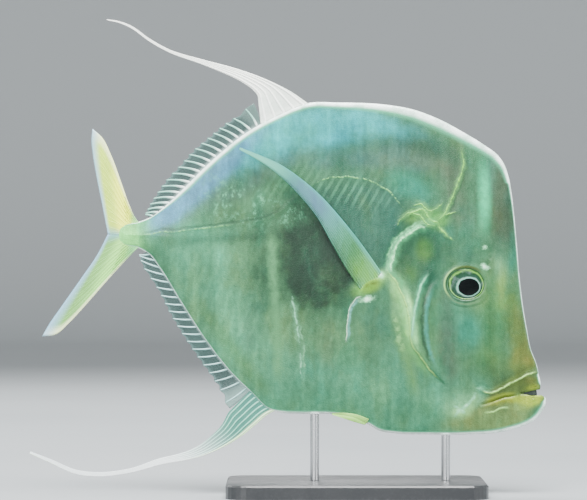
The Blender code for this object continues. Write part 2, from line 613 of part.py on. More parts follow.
def make_stand():
    """A flat base with round corners and a chamfered top, and two rods up to the belly's edge."""
    length, width, height = BASE_SIZE
    spans = np.array([length / 2, width / 2]) - BASE_CORNER
    levels = (
        (0.0, BASE_CORNER),
        (height - BASE_CHAMFER, BASE_CORNER),
        (height, BASE_CORNER - BASE_CHAMFER),
    )
    rings = []
    for level, radius in levels:
        edge = []
        for quarter, sign in enumerate(((1, 1), (-1, 1), (-1, -1), (1, -1))):
            for turn in np.radians(np.arange(0, 91, 15) + 90 * quarter):
                spot = np.array(sign) * spans + radius * np.array([math.cos(turn), math.sin(turn)])
                edge.append((BASE_CENTRE_X + spot[0], spot[1], level))
        rings.append(edge)
    count = len(rings[0])
    faces = [tuple(reversed(range(count))), tuple(range(2 * count, 3 * count))]
    for level in range(2):
        for index in range(count):
            following = (index + 1) % count
            low, high = level * count, (level + 1) * count
            faces.append((low + index, low + following, high + following, high + index))
    make_object("stand_base", np.concatenate(rings), faces, STAND_BLACK, 0.35, 0.0)
    for name, place in ROD_PLACES.items():
        near = OUTLINE_CURVE[np.abs(OUTLINE_CURVE[:, 0] - place) < ROD_RADIUS + OUTLINE_STEP]
        top = near[near[:, 1] < 100.0][:, 1].min() - GAP
        bottom = height + GAP
        builder = bmesh.new()
        bmesh.ops.create_cone(
            builder, cap_ends=True, segments=20, radius1=ROD_RADIUS, radius2=ROD_RADIUS, depth=top - bottom
        )
        points = [(v.co.x + place, v.co.y, v.co.z + (top + bottom) / 2) for v in builder.verts]
        sides = [tuple(v.index for v in face.verts) for face in builder.faces]
        builder.free()
        make_object(name, points, sides, ROD_STEEL, 0.25, 1.0)


for old in list(bpy.data.objects):
    bpy.data.objects.remove(old)
make_body()
make_middle_fins()
make_paired_fins()
make_stand()
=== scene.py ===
# %% [markdown]
# # A lookdown fish on its display stand
#
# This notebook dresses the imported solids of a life-size lookdown fish: a deep, plate-thin sea fish
# with a steep face, silvery skin and two fins drawn out into long white lobes. The solids give the
# size and the place of every part. Here each soft part gets its real surface, and all of it is
# numpy work: a shape is a function of two numbers, worked out for a whole grid at once.
#
# Lengths are written in millimetres, as on a maker's drawing, and become metres when a mesh is made.

# %% The frame
import math

import bpy
import numpy as np
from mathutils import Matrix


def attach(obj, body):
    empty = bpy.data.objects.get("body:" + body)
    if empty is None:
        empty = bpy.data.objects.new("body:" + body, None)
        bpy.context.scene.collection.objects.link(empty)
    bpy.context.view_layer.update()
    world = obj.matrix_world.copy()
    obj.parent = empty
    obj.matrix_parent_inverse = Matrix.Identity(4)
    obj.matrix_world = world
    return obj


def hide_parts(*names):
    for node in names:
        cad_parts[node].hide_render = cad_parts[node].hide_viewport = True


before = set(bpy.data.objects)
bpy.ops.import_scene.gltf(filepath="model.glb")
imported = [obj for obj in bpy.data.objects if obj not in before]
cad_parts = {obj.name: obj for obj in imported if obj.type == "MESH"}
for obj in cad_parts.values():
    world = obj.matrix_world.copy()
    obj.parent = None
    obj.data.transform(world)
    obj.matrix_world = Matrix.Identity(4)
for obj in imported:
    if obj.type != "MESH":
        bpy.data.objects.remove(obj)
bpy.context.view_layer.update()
MM = 0.001
ROOT = "root"

# %% [markdown]
# ## Curves
#
# Everything on a fish follows curved lines: its outline, its gill slit, the edges of its fins. A
# curve could be a Bezier object, but then each surface would have to ask Blender for its points. A
# few named points and a smooth line through them are enough, and numpy can use them directly. The
# points of the outline are those of the solids, so that the skin fits them. Only three at the chin
# are drawn in a little, because the curve would bulge past the solids' straight steps.

# %% Smooth lines through a few points


def lengths(line):
    """The distance from a line's start to each of its points."""
    return np.concatenate([[0.0], np.cumsum(np.linalg.norm(np.diff(line, axis=0), axis=1))])


def at(line, shares):
    """Points at these shares of the line's length, by straight steps between its own points."""
    run = lengths(line)
    where = np.asarray(shares) * run[-1]
    return np.stack([np.interp(where, run, line[:, axis]) for axis in (0, 1)], axis=-1)


def curve(points, step=0.5):
    """A cubic through the points. The slope at a point is the weighted mean of the slopes beside it."""
    knots = np.array(points, dtype=float)
    run = lengths(knots)
    slopes = np.gradient(knots, run, axis=0)
    where = np.linspace(0.0, run[-1], int(run[-1] / step) + 2)
    piece = np.clip(np.searchsorted(run, where, side="right") - 1, 0, len(knots) - 2)
    width = (run[piece + 1] - run[piece])[:, None]
    s = (where - run[piece])[:, None] / width
    return (
        (1 + 2 * s) * (1 - s) ** 2 * knots[piece]
        + s**2 * (3 - 2 * s) * knots[piece + 1]
        + width * (s * (1 - s) ** 2 * slopes[piece] + s**2 * (s - 1) * slopes[piece + 1])
    )


def straight(start, end):
    """A line of two points."""
    return np.array([start, end], dtype=float)


def left_of(line):
    """The unit normals that point to the left of a line's own direction."""
    direction = np.gradient(line, axis=0)
    direction /= np.linalg.norm(direction, axis=1)[:, None]
    return np.stack([-direction[:, 1], direction[:, 0]], axis=1)


def beside(points, line):
    """Where points lie beside a line: how far off, positive on its left, and how far along it.

    For every straight piece of the line the foot of the perpendicular is held inside the piece. The
    nearest foot wins. Past either end the second number runs on, below zero or above the length.
    """
    best = np.full(points.shape[:-1], np.inf)
    side, along = np.zeros_like(best), np.zeros_like(best)
    run = lengths(line)
    for number, (start, end) in enumerate(zip(line[:-1], line[1:])):
        size = run[number + 1] - run[number]
        way = (end - start) / size
        offset = points - start
        foot = offset @ way
        held = np.clip(foot, 0.0, size)
        gap = offset - held[..., None] * way
        far = np.sqrt((gap**2).sum(axis=-1))
        closer = far < best
        low = -np.inf if number == 0 else 0.0
        high = np.inf if number == len(line) - 2 else size
        best = np.where(closer, far, best)
        side = np.where(closer, np.sign(way[0] * offset[..., 1] - way[1] * offset[..., 0]), side)
        along = np.where(closer, run[number] + np.clip(foot, low, high), along)
    return best * np.where(side == 0, 1.0, side), along


def away_from(points, line):
    """Each point's distance to the nearest place on a line."""
    return np.abs(beside(points, line)[0])


def rising(value, low, high):
    """Zero at low, one at high, straight in between and held outside. low may be above high."""
    return np.clip((value - low) / (high - low), 0, 1)


BELLY = [
    (147.5, 57.6), (149.7, 56.2), (150.2, 53.0), (148.2, 48.6), (144.8, 44.2), (138.0, 40.0),
    (129.5, 37.4), (120.5, 35.6), (106.0, 34.8), (83.0, 34.8), (62.5, 35.4), (54.0, 36.8),
    (46.0, 41.2), (39.5, 44.4), (30.5, 46.2), (22.0, 46.8), (7.5, 46.8), (-4.0, 47.5),
]
TAIL_STEM = [
    (-9.5, 49.0), (-21.5, 59.6), (-33.0, 71.0), (-47.5, 89.6), (-62.0, 112.0), (-73.5, 130.6),
    (-80.0, 139.2), (-86.5, 143.0), (-94.5, 144.6), (-98.0, 147.0), (-99.0, 150.5), (-98.0, 154.0),
    (-94.5, 156.4), (-85.5, 158.2), (-79.5, 160.6), (-71.0, 167.0), (-59.0, 178.6), (-47.5, 190.2),
    (-36.0, 200.4), (-24.5, 209.4),
]
BACK = [
    (-7.0, 219.2), (13.0, 227.0), (30.5, 227.2), (57.0, 226.0), (71.5, 223.6), (88.5, 217.4),
    (103.0, 209.6), (115.0, 202.2), (122.0, 197.0), (126.0, 191.4), (128.6, 184.0), (130.4, 174.0),
    (131.8, 162.0), (133.4, 144.5), (134.8, 127.0), (136.8, 110.0), (139.2, 95.5), (141.6, 83.6),
    (144.6, 76.0), (146.2, 69.0), (147.2, 63.6), (146.8, 60.8),
]
UPPER_LIP_EDGE = [(146.8, 60.8), (141.5, 60.0), (135.8, 58.5)]
LOWER_LIP_EDGE = [(147.5, 57.6), (142.0, 57.1), (135.8, 58.5)]
TAIL_END = (-99.0, 150.5)
SPINE = [
    (-95.0, 150.5), (-60.0, 143.5), (-20.0, 134.5), (20.0, 125.0), (60.0, 110.0), (86.7, 83.9),
    (98.8, 70.6), (111.8, 60.6), (129.4, 57.3), (135.8, 58.5),
]

outline = curve(BELLY + TAIL_STEM + BACK)
tail_end = int(np.argmin(np.linalg.norm(outline - np.array(TAIL_END), axis=1)))
upper_edge = np.concatenate([outline[tail_end:], np.array(UPPER_LIP_EDGE)[1:]])
lower_edge = np.concatenate([outline[:tail_end + 1][::-1], np.array(LOWER_LIP_EDGE)[1:]])
mouth_edge = UPPER_LIP_EDGE[1:] + LOWER_LIP_EDGE[1::-1]
closed_outline = np.concatenate([outline, np.array(mouth_edge)])
print("outline:", len(outline), "points,", round(lengths(outline)[-1]), "mm round")

# %% [markdown]
# ## How thick the body is
#
# Seen from in front the lookdown is a blade: a sharp forehead and belly, and its widest place at the
# shoulder, behind the gill covers. One formula gives half the width at any place of the side view. A
# thin plate carries three soft swells, and towards the outline the width falls off as a quarter of a
# sine wave. The same formula built the solids, so the skin lies just inside them.

# %% Half the body's width

EDGE_HALF = 1.1
BLADE_HALF = 2.7
SWELLS = [((66.0, 108.0), (44.0, 40.0), 6.2), ((112.0, 88.0), (16.0, 30.0), 1.5)]
CORE_LINE = [(-92.0, 150.5), (-40.0, 138.0), (20.0, 124.0)]
CORE_REACH = 22.0
CORE_SWELL = 1.9
ROUNDING = 21.0
ROUNDING_POWER = 0.85
RIM_RADIUS = 1.3
SKIN_INSET = 0.12  # the skin lies this far inside the solids
FLANK_STRIDE = 4  # fins on the flank need only every fourth point of the outline


def bell(points, centre, reach, tilt=0.0):
    """A bell over an ellipse: one at its centre, falling as a Gaussian, turned by tilt degrees."""
    offset = points - np.array(centre)
    c, s = math.cos(math.radians(tilt)), math.sin(math.radians(tilt))
    along = offset[..., 0] * c + offset[..., 1] * s
    across = offset[..., 1] * c - offset[..., 0] * s
    return np.exp(-0.5 * ((along / reach[0]) ** 2 + (across / reach[1]) ** 2))


def half_width(points, depth):
    """Half the body's width: a plate and its swells, times a sine of the depth inside the outline."""
    full = BLADE_HALF + sum(swell * bell(points, centre, reach) for centre, reach, swell in SWELLS)
    core = away_from(points, np.array(CORE_LINE)) / CORE_REACH
    full = full + CORE_SWELL * np.exp(-0.5 * core**2)
    share = rising(depth, 0, ROUNDING)
    return EDGE_HALF + (full - EDGE_HALF) * np.sin(share * math.pi / 2) ** ROUNDING_POWER


def flank(points):
    """Half the body's width at points that may also lie outside the outline, for fins on the flank."""
    return half_width(points, away_from(points, outline[::FLANK_STRIDE]))


# %% [markdown]
# ## Lines on the skin
#
# Fine lines make the face of a lookdown: the bright arch along the edge of the gill cover, the bony
# star above it, the upper jaw, the mouth and the lateral line, a row of pores down the flank. A line
# half a millimetre wide is finer than the skin's grid, and if its strength were stored at the grid's
# points it would break into dots. So the mesh stores where each point lies beside the line instead.
# Those two numbers change evenly from point to point, and the shader can draw the line crisply.

# %% The lines

LINES = {
    "gill_arch": [
        (84.3, 157.2), (79.5, 157.0), (75.2, 156.0), (70.9, 153.5), (66.1, 149.9), (62.9, 146.6),
        (60.6, 141.1), (58.9, 135.3), (58.0, 129.8), (60.0, 126.9), (62.6, 124.0), (65.0, 119.0),
        (67.9, 112.9), (69.9, 105.7), (70.8, 98.2), (71.3, 91.2), (72.5, 86.6), (76.0, 81.4),
        (78.9, 77.3), (81.8, 73.3), (85.3, 69.5), (89.1, 66.0),
    ],
    "gill_band": [
        (60.3, 110.4), (62.1, 104.0), (63.8, 97.3), (65.5, 88.9), (67.9, 81.4), (69.9, 74.1),
        (71.9, 66.9), (73.7, 59.3), (75.2, 51.8),
    ],
    "inner_gill": [
        (82.9, 128.7), (80.3, 126.0), (78.2, 123.1), (76.4, 117.1), (74.0, 107.5), (72.8, 98.2),
        (71.9, 88.9),
    ],
    "cheek": [
        (84.9, 120.8), (82.5, 115.3), (80.6, 107.5), (80.3, 98.2), (81.2, 88.9), (83.5, 80.2),
        (87.0, 72.1),
    ],
    "star_up": [
        (86.7, 158.5), (90.4, 161.4), (93.4, 166.9), (95.9, 172.4), (99.2, 181.1), (101.8, 188.1),
        (102.2, 195.1), (100.9, 200.9),
    ],
    "star_front": [(90.4, 161.4), (94.0, 163.0), (98.0, 163.9)],
    "star_down": [(87.0, 158.5), (88.7, 154.5), (91.6, 150.5), (97.0, 147.2)],
    "star_rear": [
        (70.8, 161.4), (72.5, 163.4), (75.2, 164.5), (78.2, 165.5), (80.6, 162.6), (83.1, 159.1),
        (87.6, 157.9),
    ],
    "star_loop": [
        (63.8, 155.6), (66.7, 160.3), (71.9, 163.0), (77.1, 161.2), (81.2, 156.8), (86.5, 155.8),
    ],
    "star_net": [(72.5, 167.6), (77.1, 168.6), (82.9, 164.0), (87.4, 166.4), (91.0, 170.0)],
    "lateral": [
        (67.9, 165.5), (65.5, 168.4), (62.6, 171.9), (59.7, 175.3), (53.9, 178.8), (48.1, 181.7),
        (42.3, 183.2), (30.7, 184.0), (24.9, 183.5), (19.1, 181.7), (12.2, 177.7), (4.1, 170.7),
        (-5.2, 163.2), (-12.2, 159.7), (-18.6, 157.9), (-27.3, 156.8), (-38.9, 155.4),
        (-49.3, 154.1), (-59.2, 153.1), (-65.5, 152.1), (-72.5, 152.4), (-79.5, 150.7), (-88.0, 149.8),
    ],
    "scar": [(43.5, 115.0), (40.0, 113.6), (37.1, 109.8), (35.4, 104.0), (34.5, 95.3), (34.0, 87.8)],
    "jaw_bone": [
        (145.6, 71.4), (140.9, 70.1), (135.7, 67.5), (130.3, 64.8), (123.8, 61.3), (120.6, 59.6),
        (116.6, 59.1), (112.2, 60.7),
    ],
    "jaw_gleam": [(113.9, 47.3), (119.5, 48.0), (123.5, 49.8), (128.8, 50.3)],
    "mouth": [(134.6, 58.0), (131.7, 57.2), (125.9, 56.4), (121.2, 55.0), (116.6, 53.2), (113.1, 52.4)],
    # A painted highlight down the forehead, where its slope turns at the ridge.
    "forehead_highlight": [
        (112.5, 199.7), (113.7, 191.0), (114.3, 179.4), (114.3, 167.8), (114.0, 156.2), (113.1, 145.8),
    ],
    "stripe": [(-9.3, 155.6), (-8.7, 141.7), (-7.2, 118.5), (-6.1, 95.3), (-5.0, 62.0)],
    "joint_front": [(97.0, 44.8), (99.6, 48.4), (103.6, 51.6), (107.6, 55.4), (109.6, 59.6)],
    "joint_rear": [(96.0, 51.6), (99.6, 49.6), (104.0, 47.0)],
    "streak": [(2.3, 117.3), (3.5, 111.0), (5.8, 98.2), (7.5, 87.2), (8.1, 66.9)],
}
LINE_PATHS = {name: curve(points, step=1.0) for name, points in LINES.items()}
NOSTRILS = [(116.2, 133.6), (117.8, 137.2)]
EYE_RIM_CENTRE = (103.6, 121.9)
EYE_RIM = (10.2, 8.7)
LINE_LAP = 0.4  # how far a stroke's fade begins beyond its end, in millimetres


def ridge(distance, width):
    """One on a line and falling off as a Gaussian, for a ridge or a groove of that half width."""
    return np.exp(-((distance / width) ** 2))


def eye_rings(points):
    """How far out from the eye a point lies, counted in ellipses: one on the rim of the eyeball."""
    offset = (points - np.array(EYE_RIM_CENTRE)) / np.array(EYE_RIM)
    return np.sqrt((offset**2).sum(axis=-1))


for name in ("gill_arch", "lateral", "jaw_bone"):
    print(name, round(lengths(LINE_PATHS[name])[-1], 1), "mm long")

# %% [markdown]
# ## Meshes from grids
#
# Each piece ends as a list of points and a list of faces. A mesh could be made with bmesh one face at
# a time, which is slow for a skin of a hundred thousand faces. foreach_set hands whole arrays over in
# one call. Points that lie in one place are welded first, so that seams and poles are closed.

# %% Grid faces, welding and the mesh itself


def in_space(spots, depth):
    """Points of the side view, each at its own depth, as one list of places."""
    return np.stack([spots[..., 0], depth, spots[..., 1]], axis=-1).reshape(-1, 3)


def quads(columns, rows, start=0, wrap=False):
    """The four-cornered faces of a grid whose points are counted row by row within each column."""
    index = start + np.arange(columns * rows).reshape(columns, rows)
    if wrap:
        index = np.concatenate([index, index[:, :1]], axis=1)
    corners = (index[:-1, :-1], index[1:, :-1], index[1:, 1:], index[:-1, 1:])
    return np.stack([corner.ravel() for corner in corners], axis=1)


def weld(points, faces, paint):
    """Points nearer than a thousandth of a millimetre become one, and faces are counted anew."""
    keys = np.round(points * 1000).astype(np.int64)
    _, first, again = np.unique(keys, axis=0, return_index=True, return_inverse=True)
    again = again.ravel()
    faces = [again[group] for group in faces]
    whole = []
    for group in faces:
        repeated = sum((group == np.roll(group, -1, axis=1)).T.astype(int)) > 0
        whole.append(group[~repeated])
        for corner in range(group.shape[1]):
            pinched = repeated & (group[:, corner] == group[:, corner - 1])
            whole.append(np.delete(group[pinched], corner, axis=1))
    whole = [group for group in whole if len(group)]
    return points[first], whole, {key: value[first] for key, value in paint.items()}


def make_mesh(name, points, faces, material, paint=None):
    """A piece from points in millimetres and groups of faces, with paint layers for its points."""
    mesh = bpy.data.meshes.new(name)
    sizes = np.concatenate([np.full(len(group), group.shape[1]) for group in faces])
    corners = np.concatenate([group.ravel() for group in faces])
    mesh.vertices.add(len(points))
    mesh.vertices.foreach_set("co", (points * MM).astype(np.float32).ravel())
    mesh.loops.add(len(corners))
    mesh.loops.foreach_set("vertex_index", corners.astype(np.int32))
    mesh.polygons.add(len(sizes))
    starts = np.concatenate([[0], np.cumsum(sizes)[:-1]])
    mesh.polygons.foreach_set("loop_start", starts.astype(np.int32))
    for key, value in (paint or {}).items():
        kind, field = ("FLOAT", "value") if value.ndim == 1 else ("FLOAT_VECTOR", "vector")
        layer = mesh.attributes.new(key, kind, "POINT")
        layer.data.foreach_set(field, value.astype(np.float32).ravel())
    mesh.update(calc_edges=True)
    mesh.validate()
    mesh.shade_smooth()
    mesh.materials.append(material)
    piece = bpy.data.objects.new(name, mesh)
    bpy.context.scene.collection.objects.link(piece)
    print(f"{name}: {len(points)} points, {len(sizes)} faces")
    return piece


def finish_piece(piece, slot, *nodes):
    """The piece rides on the model's one body and stands for its solids, which are hidden. slot is not
    used.
    """
    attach(piece, ROOT)
    if nodes:
        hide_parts(*nodes)


# %% [markdown]
# ## Finishes from nodes
#
# Every finish is a Principled shader fed by a few nodes: a base colour that named patches of paint
# are mixed over, fine noise for the grain and a bump for the relief that is too small to model.
# Image textures would be the other way. Nodes keep sharp at any size, and they read the object's own
# coordinates, so the pattern stays with the fish when the camera moves.

# %% A small kit for building node trees


class Finish:
    """A material whose nodes are added one call at a time. Colours are linear red, green and blue."""

    def __init__(self, name, colour, roughness, metallic=0.0, specular=0.5):
        self.material = bpy.data.materials.new(name)
        self.material.use_nodes = True
        self.nodes = self.material.node_tree.nodes
        self.links = self.material.node_tree.links
        self.shader = self.nodes["Principled BSDF"]
        self.put("Roughness", roughness)
        self.put("Metallic", metallic)
        self.put("Specular IOR Level", specular)
        self.put("Base Color", (*colour, 1.0))
        self.colour = None
        self.place = self.nodes.new("ShaderNodeTexCoord").outputs["Object"]

    def put(self, name, value):
        """A plain value on one of the shader's own inputs."""
        self.shader.inputs[name].default_value = value

    def coat(self, weight, roughness):
        """A clear coat over the finish."""
        self.put("Coat Weight", weight)
        self.put("Coat Roughness", roughness)

    def node(self, kind, feeds, **switches):
        """A new node with its switches set. Each input is linked to a socket or set to a plain value."""
        node = self.nodes.new("ShaderNode" + kind)
        for key, value in switches.items():
            setattr(node, key, value)
        for key, value in feeds.items():
            if isinstance(value, bpy.types.NodeSocket):
                self.links.new(value, node.inputs[key])
            else:
                node.inputs[key].default_value = value
        return node

    def stretch(self, scale, turn=(0, 0, 0)):
        """Object coordinates scaled along each axis and turned, in degrees."""
        turn = [math.radians(angle) for angle in turn]
        return self.node("Mapping", {"Scale": scale, "Rotation": turn, "Vector": self.place}).outputs[0]

    def noise(self, scale, detail=3.0, roughness=0.5, vector=None):
        """Cloudy noise, one cell to 1 / scale metres."""
        feeds = {"Scale": scale, "Detail": detail, "Roughness": roughness, "Vector": vector or self.place}
        return self.node("TexNoise", feeds).outputs["Fac"]

    def cells(self, scale, vector):
        """How far a place lies from the edge of its Voronoi cell, for scales."""
        feeds = {"Scale": scale, "Vector": vector}
        return self.node("TexVoronoi", feeds, feature="DISTANCE_TO_EDGE").outputs["Distance"]

    def math(self, kind, *values):
        """Values joined by a sum, a product or another operation. Each may be a plain number."""
        return self.node("Math", dict(enumerate(values)), operation=kind).outputs["Value"]

    def times(self, one, other):
        """The product of two values."""
        return self.math("MULTIPLY", one, other)

    def ramp(self, value, low, high, out_low=0.0, out_high=1.0, smooth=True):
        """A value moved from one range to another, with soft ends, and held inside it."""
        feeds = {"Value": value, "From Min": low, "From Max": high, "To Min": out_low, "To Max": out_high}
        kind = "SMOOTHSTEP" if smooth else "LINEAR"
        return self.node("MapRange", feeds, interpolation_type=kind).outputs["Result"]

    def parts(self, vector):
        """The x, y and z of a vector."""
        return self.node("SeparateXYZ", {"Vector": vector}).outputs

    def bands(self, along, up, spacing, wobble=0.35):
        """Soft parallel bands across the side view, a sine of the place plus a little noise."""
        place = self.parts(self.place)
        turns = math.tau / (spacing * MM)
        across = self.times(place["X"], along * turns)
        phase = self.math("ADD", across, self.times(place["Z"], up * turns))
        phase = self.math("ADD", phase, self.times(self.noise(90), wobble * math.tau))
        return self.math("MULTIPLY_ADD", self.math("SINE", phase), 0.5, 0.5)

    def paint(self, name):
        """A paint layer that the mesh carries, one number a point."""
        return self.node("Attribute", {}, attribute_name=name).outputs["Fac"]

    def line(self, name, width, start=0.0, stop=None, fade=3.0, shift=0.0, ragged=0.0, broken=0.0):
        """A stroke along one of the mesh's lines, from start to stop in millimetres along it.

        It is full on the line, or shift to its left, and gone at its half width. ragged moves it to and
        fro by that many millimetres, broken takes that share of its strength in places. Both ends fade.
        """
        stored = self.node("Attribute", {}, attribute_name="line_" + name)
        place = self.parts(stored.outputs["Vector"])
        offset, along = place["X"], place["Y"]
        if shift:
            offset = self.math("SUBTRACT", offset, shift)
        if ragged:
            waver = self.noise(230, detail=4, roughness=0.65)
            offset = self.math("ADD", offset, self.ramp(waver, 0.25, 0.75, -ragged, ragged, smooth=False))
        stroke = self.ramp(self.math("ABSOLUTE", offset), width, 0.0)
        if broken:
            stroke = self.times(stroke, self.ramp(self.noise(330), 0.36, 0.60, 1 - broken, 1.0))
        stop = lengths(LINE_PATHS[name])[-1] if stop is None else stop
        stroke = self.times(stroke, self.ramp(along, start - LINE_LAP, start + fade))
        return self.times(stroke, self.ramp(along, stop + LINE_LAP, stop - fade))

    def show(self, colour):
        """The paint so far becomes this colour, and the shader takes it."""
        self.colour = colour
        self.links.new(colour, self.shader.inputs["Base Color"])

    def over(self, colour, share, strength=1.0):
        """A colour laid over all that was painted before, where share times strength says how much."""
        if strength != 1.0:
            share = self.times(share, strength)
        under = self.colour or tuple(self.shader.inputs["Base Color"].default_value)
        feeds = {0: share, 6: under, 7: (*colour, 1.0)}
        self.show(self.node("Mix", feeds, data_type="RGBA").outputs[2])

    def tint(self, colour, share, strength=1.0):
        """All the paint so far multiplied by a colour, where share times strength says how much."""
        self.over(colour, share, strength)
        self.colour.node.blend_type = "MULTIPLY"

    def shade(self, factor):
        """All the paint so far made darker or lighter by a factor that varies."""
        feeds = {0: self.colour, "Scale": factor}
        self.show(self.node("VectorMath", feeds, operation="SCALE").outputs["Vector"])

    def rough(self, value):
        """Roughness that varies over the surface."""
        self.links.new(value, self.shader.inputs["Roughness"])

    def bump(self, height, distance, strength=1.0):
        """Fine relief over the relief before it. Distance is the height of a value of one, in metres."""
        feeds = {"Distance": distance, "Strength": strength, "Height": height}
        normal = self.shader.inputs["Normal"]
        if normal.is_linked:
            feeds["Normal"] = normal.links[0].from_socket
        self.links.new(self.node("Bump", feeds).outputs["Normal"], normal)


# %% [markdown]
# ## The skin's paint
#
# A lookdown's flank is a mirror of guanine crystals under thin pigment. It shows as soft patches: a
# blue sheen along the back, dark olive behind the pectoral fin, ochre on the face and jaws, a dark
# window in the gill cover. Each patch is a sum of bells, and a bell is given by its middle, its
# reach along two axes, its tilt and its strength. They are wide, so the mesh can carry them.

# %% Soft patches

# Each bell: its middle along and up, its reach along and across, its tilt and its strength.
PATCHES = {
    "blue": [
        (0, 209, 26, 9, 10, 0.9), (32, 214, 22, 7, -2, 0.75), (-20, 198, 16, 7, 36, 0.6),
        (62, 213, 18, 4, -14, 0.3),
    ],
    "lavender": [(-42, 186, 30, 5.2, 43, 1.1), (-72, 161, 9, 4, 35, 0.7)],
    "olive": [
        (34, 194, 32, 6, 0, 0.8), (-14, 186, 22, 5, 34, 0.6), (-52, 166, 20, 5, 30, 0.45),
        (70, 197, 16, 8, -18, 0.7), (118, 186, 5, 16, -14, 0.5),
    ],
    "dark": [
        (10.4, 136, 17, 24, 0, 0.95), (25, 140, 11, 18, 20, 0.6), (-18, 118, 6, 28, 0, 0.35),
        (22, 122, 13, 13, 0, 0.5), (-30, 160, 22, 5, 8, 0.3), (-40, 148, 24, 3, 4, 0.45),
    ],
    "deep_teal": [
        (50, 150, 11, 15, 0, 1.1), (33, 168, 22, 8, -8, 0.7), (46, 166, 14, 15, 0, 0.7),
        (52, 96, 9, 16, 0, 0.5), (86, 128, 4, 6, 0, 0.6), (78, 204, 20, 5, -24, 0.8),
        (48, 205, 14, 4, -8, 0.5), (100, 138, 10, 4, 0, 0.5),
    ],
    "pale": [
        (120.5, 172, 3, 16, 0, 0.45), (-52, 128, 14, 20, -24, 0.9), (-30, 98, 14, 26, -36, 0.7),
        (-83, 151, 8, 5, 0, 0.9), (-60, 146, 12, 9, 0, 0.7), (30, 58, 36, 11, 0, 1.1),
        (-6, 66, 18, 14, -40, 0.9), (80, 46, 30, 8, 0, 1.2), (104, 57, 11, 9, 0, 1.1),
        (60, 72, 8, 18, 8, 0.5), (100, 50, 10, 8, 20, 1), (104, 150, 4, 12, -10, 0.3),
        (100, 100, 10, 14, 0, 0.35),
    ],
    "sage": [(-30, 104, 30, 44, -20, 1.3), (8, 68, 46, 20, 0, 1.3), (60, 62, 34, 18, 0, 1)],
    "umber": [(126.5, 178, 5, 28, -5, 1.3), (131.5, 152, 3, 10, -6, 0.6)],
    "green": [
        (-30, 82, 30, 4, -52, 0.7), (88, 52, 14, 9, 0, 0.4), (119, 108, 7.5, 18, 0, 0.8),
        (116, 78, 9, 9, 0, 0.6), (84, 100, 10, 16, 0, 0.4), (-8, 120, 5, 26, 0, 0.3),
    ],
    "mauve": [
        (95.7, 184, 7.5, 15, 4, 0.7), (92.8, 88, 4.2, 19, 3, 1), (125.6, 170, 4, 24, -3, 0.5),
        (104, 163, 7, 9, 30, 0.5), (126.5, 46.5, 9, 2.6, 4, 0.4), (58, 199, 18, 4.5, -10, 0.2),
        (-20, 176, 12, 4, 30, 0.3), (24, 84, 5, 18, 4, 0.35), (-24, 92, 5, 14, -10, 0.35),
    ],
    "teal": [
        (71.3, 179.4, 11, 6, -24, 1), (105, 94.1, 6, 8, 0, 0.9), (62, 60, 10, 16, 0, 0.35),
        (93, 152, 4, 5, 0, 0.5), (130.5, 140, 2.6, 16, -4, 0.5), (50, 100, 8, 16, 0, 0.25),
        (-40, 152, 20, 5, 4, 0.3),
    ],
    "ochre": [
        (130.5, 110, 4.2, 13, -6, 0.85), (136, 89, 4.6, 11, -10, 1), (139, 76, 6, 4.5, 20, 1),
        (136, 63.5, 9.5, 3.6, 14, 1.2), (125, 59, 8, 2.2, 22, 0.9), (120, 75, 6, 8, 20, 0.35),
    ],
    "orange": [(141, 77, 3.2, 4, 0, 0.45), (141.5, 66, 4, 2.6, 0, 0.45)],
    "yellow": [
        (142.2, 54.2, 5.6, 2.6, 22, 1.2), (130, 66, 8, 3, 14, 0.25), (130, 55, 10, 1.8, 8, 1),
        (124, 118, 3.5, 14, -4, 0.3), (143, 62, 3.6, 1.6, 10, 0.6),
    ],
    "cream": [(116, 42, 18, 4.4, 6, 1), (120, 49, 12, 3.6, 12, 1), (134, 49, 9, 3.4, 28, 1)],
    "mint": [
        (104, 55, 9, 5, 20, 0.7), (99, 49, 5, 4, 0, 0.5), (122.5, 136, 3.4, 8, 0, 0.4),
        (87, 60, 4, 12, 0, 0.4),
    ],
    "glow": [
        (70.8, 103, 2.3, 12.5, 12, 1.1), (64, 118, 2.6, 5, 30, 0.45), (107, 52, 2, 5, -24, 0.5),
        (100, 47.5, 3.6, 2.6, 0, 0.6), (66, 104, 3.4, 12, 14, 0.5), (52, 126, 4, 2.6, 24, 0.8),
        (80, 157.5, 5, 2.4, 0, 0.5),
    ],
    "stem_glow": [(-99, 150.5, 12, 14, 0, 1.1)],
    "window": [(77.5, 141, 8.4, 12.5, -8, 1.6), (80, 126, 4, 6, 0, 0.6)],
    "window_glow": [(80, 142, 3.8, 5.4, 0, 1), (71.5, 127.5, 3.4, 5, 0, 0.55)],
    "star_glow": [(87.6, 158.5, 4.6, 3.6, 30, 1), (76, 161.6, 6.5, 3, 10, 0.9)],
    "gleam": [
        (114.8, 131.8, 1.9, 1.1, -25, 1), (114.2, 143.4, 1, 1.1, 0, 0.8),
        (103.4, 51.4, 1.4, 0.8, 40, 0.7), (100.4, 48.6, 1.8, 1.1, 0, 0.8),
        (46.4, 113.4, 3.4, 1.3, 8, 0.9), (53, 127.2, 2, 1.4, 0, 0.9),
    ],
    "sparkle": [(-9.9, 168, 15, 8, 0, 1), (-38, 171, 11, 9, 0, 0.6)],
    "muscle": [(36, 175, 16, 5.5, -8, 1), (-2, 181, 13, 4, 30, 0.4)],
    "veiled": [(-34, 112, 26, 26, 0, 1), (20, 92, 18, 24, 0, 0.8)],
    "base_muscle": [(47, 121.6, 6.4, 3.4, 27, 1.2)],
    "base_shade": [(45.6, 120.4, 1.8, 0.9, 50, 0.6), (50.4, 122.6, 2.2, 0.9, 8, 0.7)],
}


def patches(points):
    """Every soft patch of paint at points of the side view, as numbers from zero to one."""
    layers = {}
    for name, bells in PATCHES.items():
        total = sum(strength * bell(points, (x, z), (along, across), tilt)
                    for x, z, along, across, tilt, strength in bells)
        layers[name] = np.clip(total, 0, 1)
    return layers


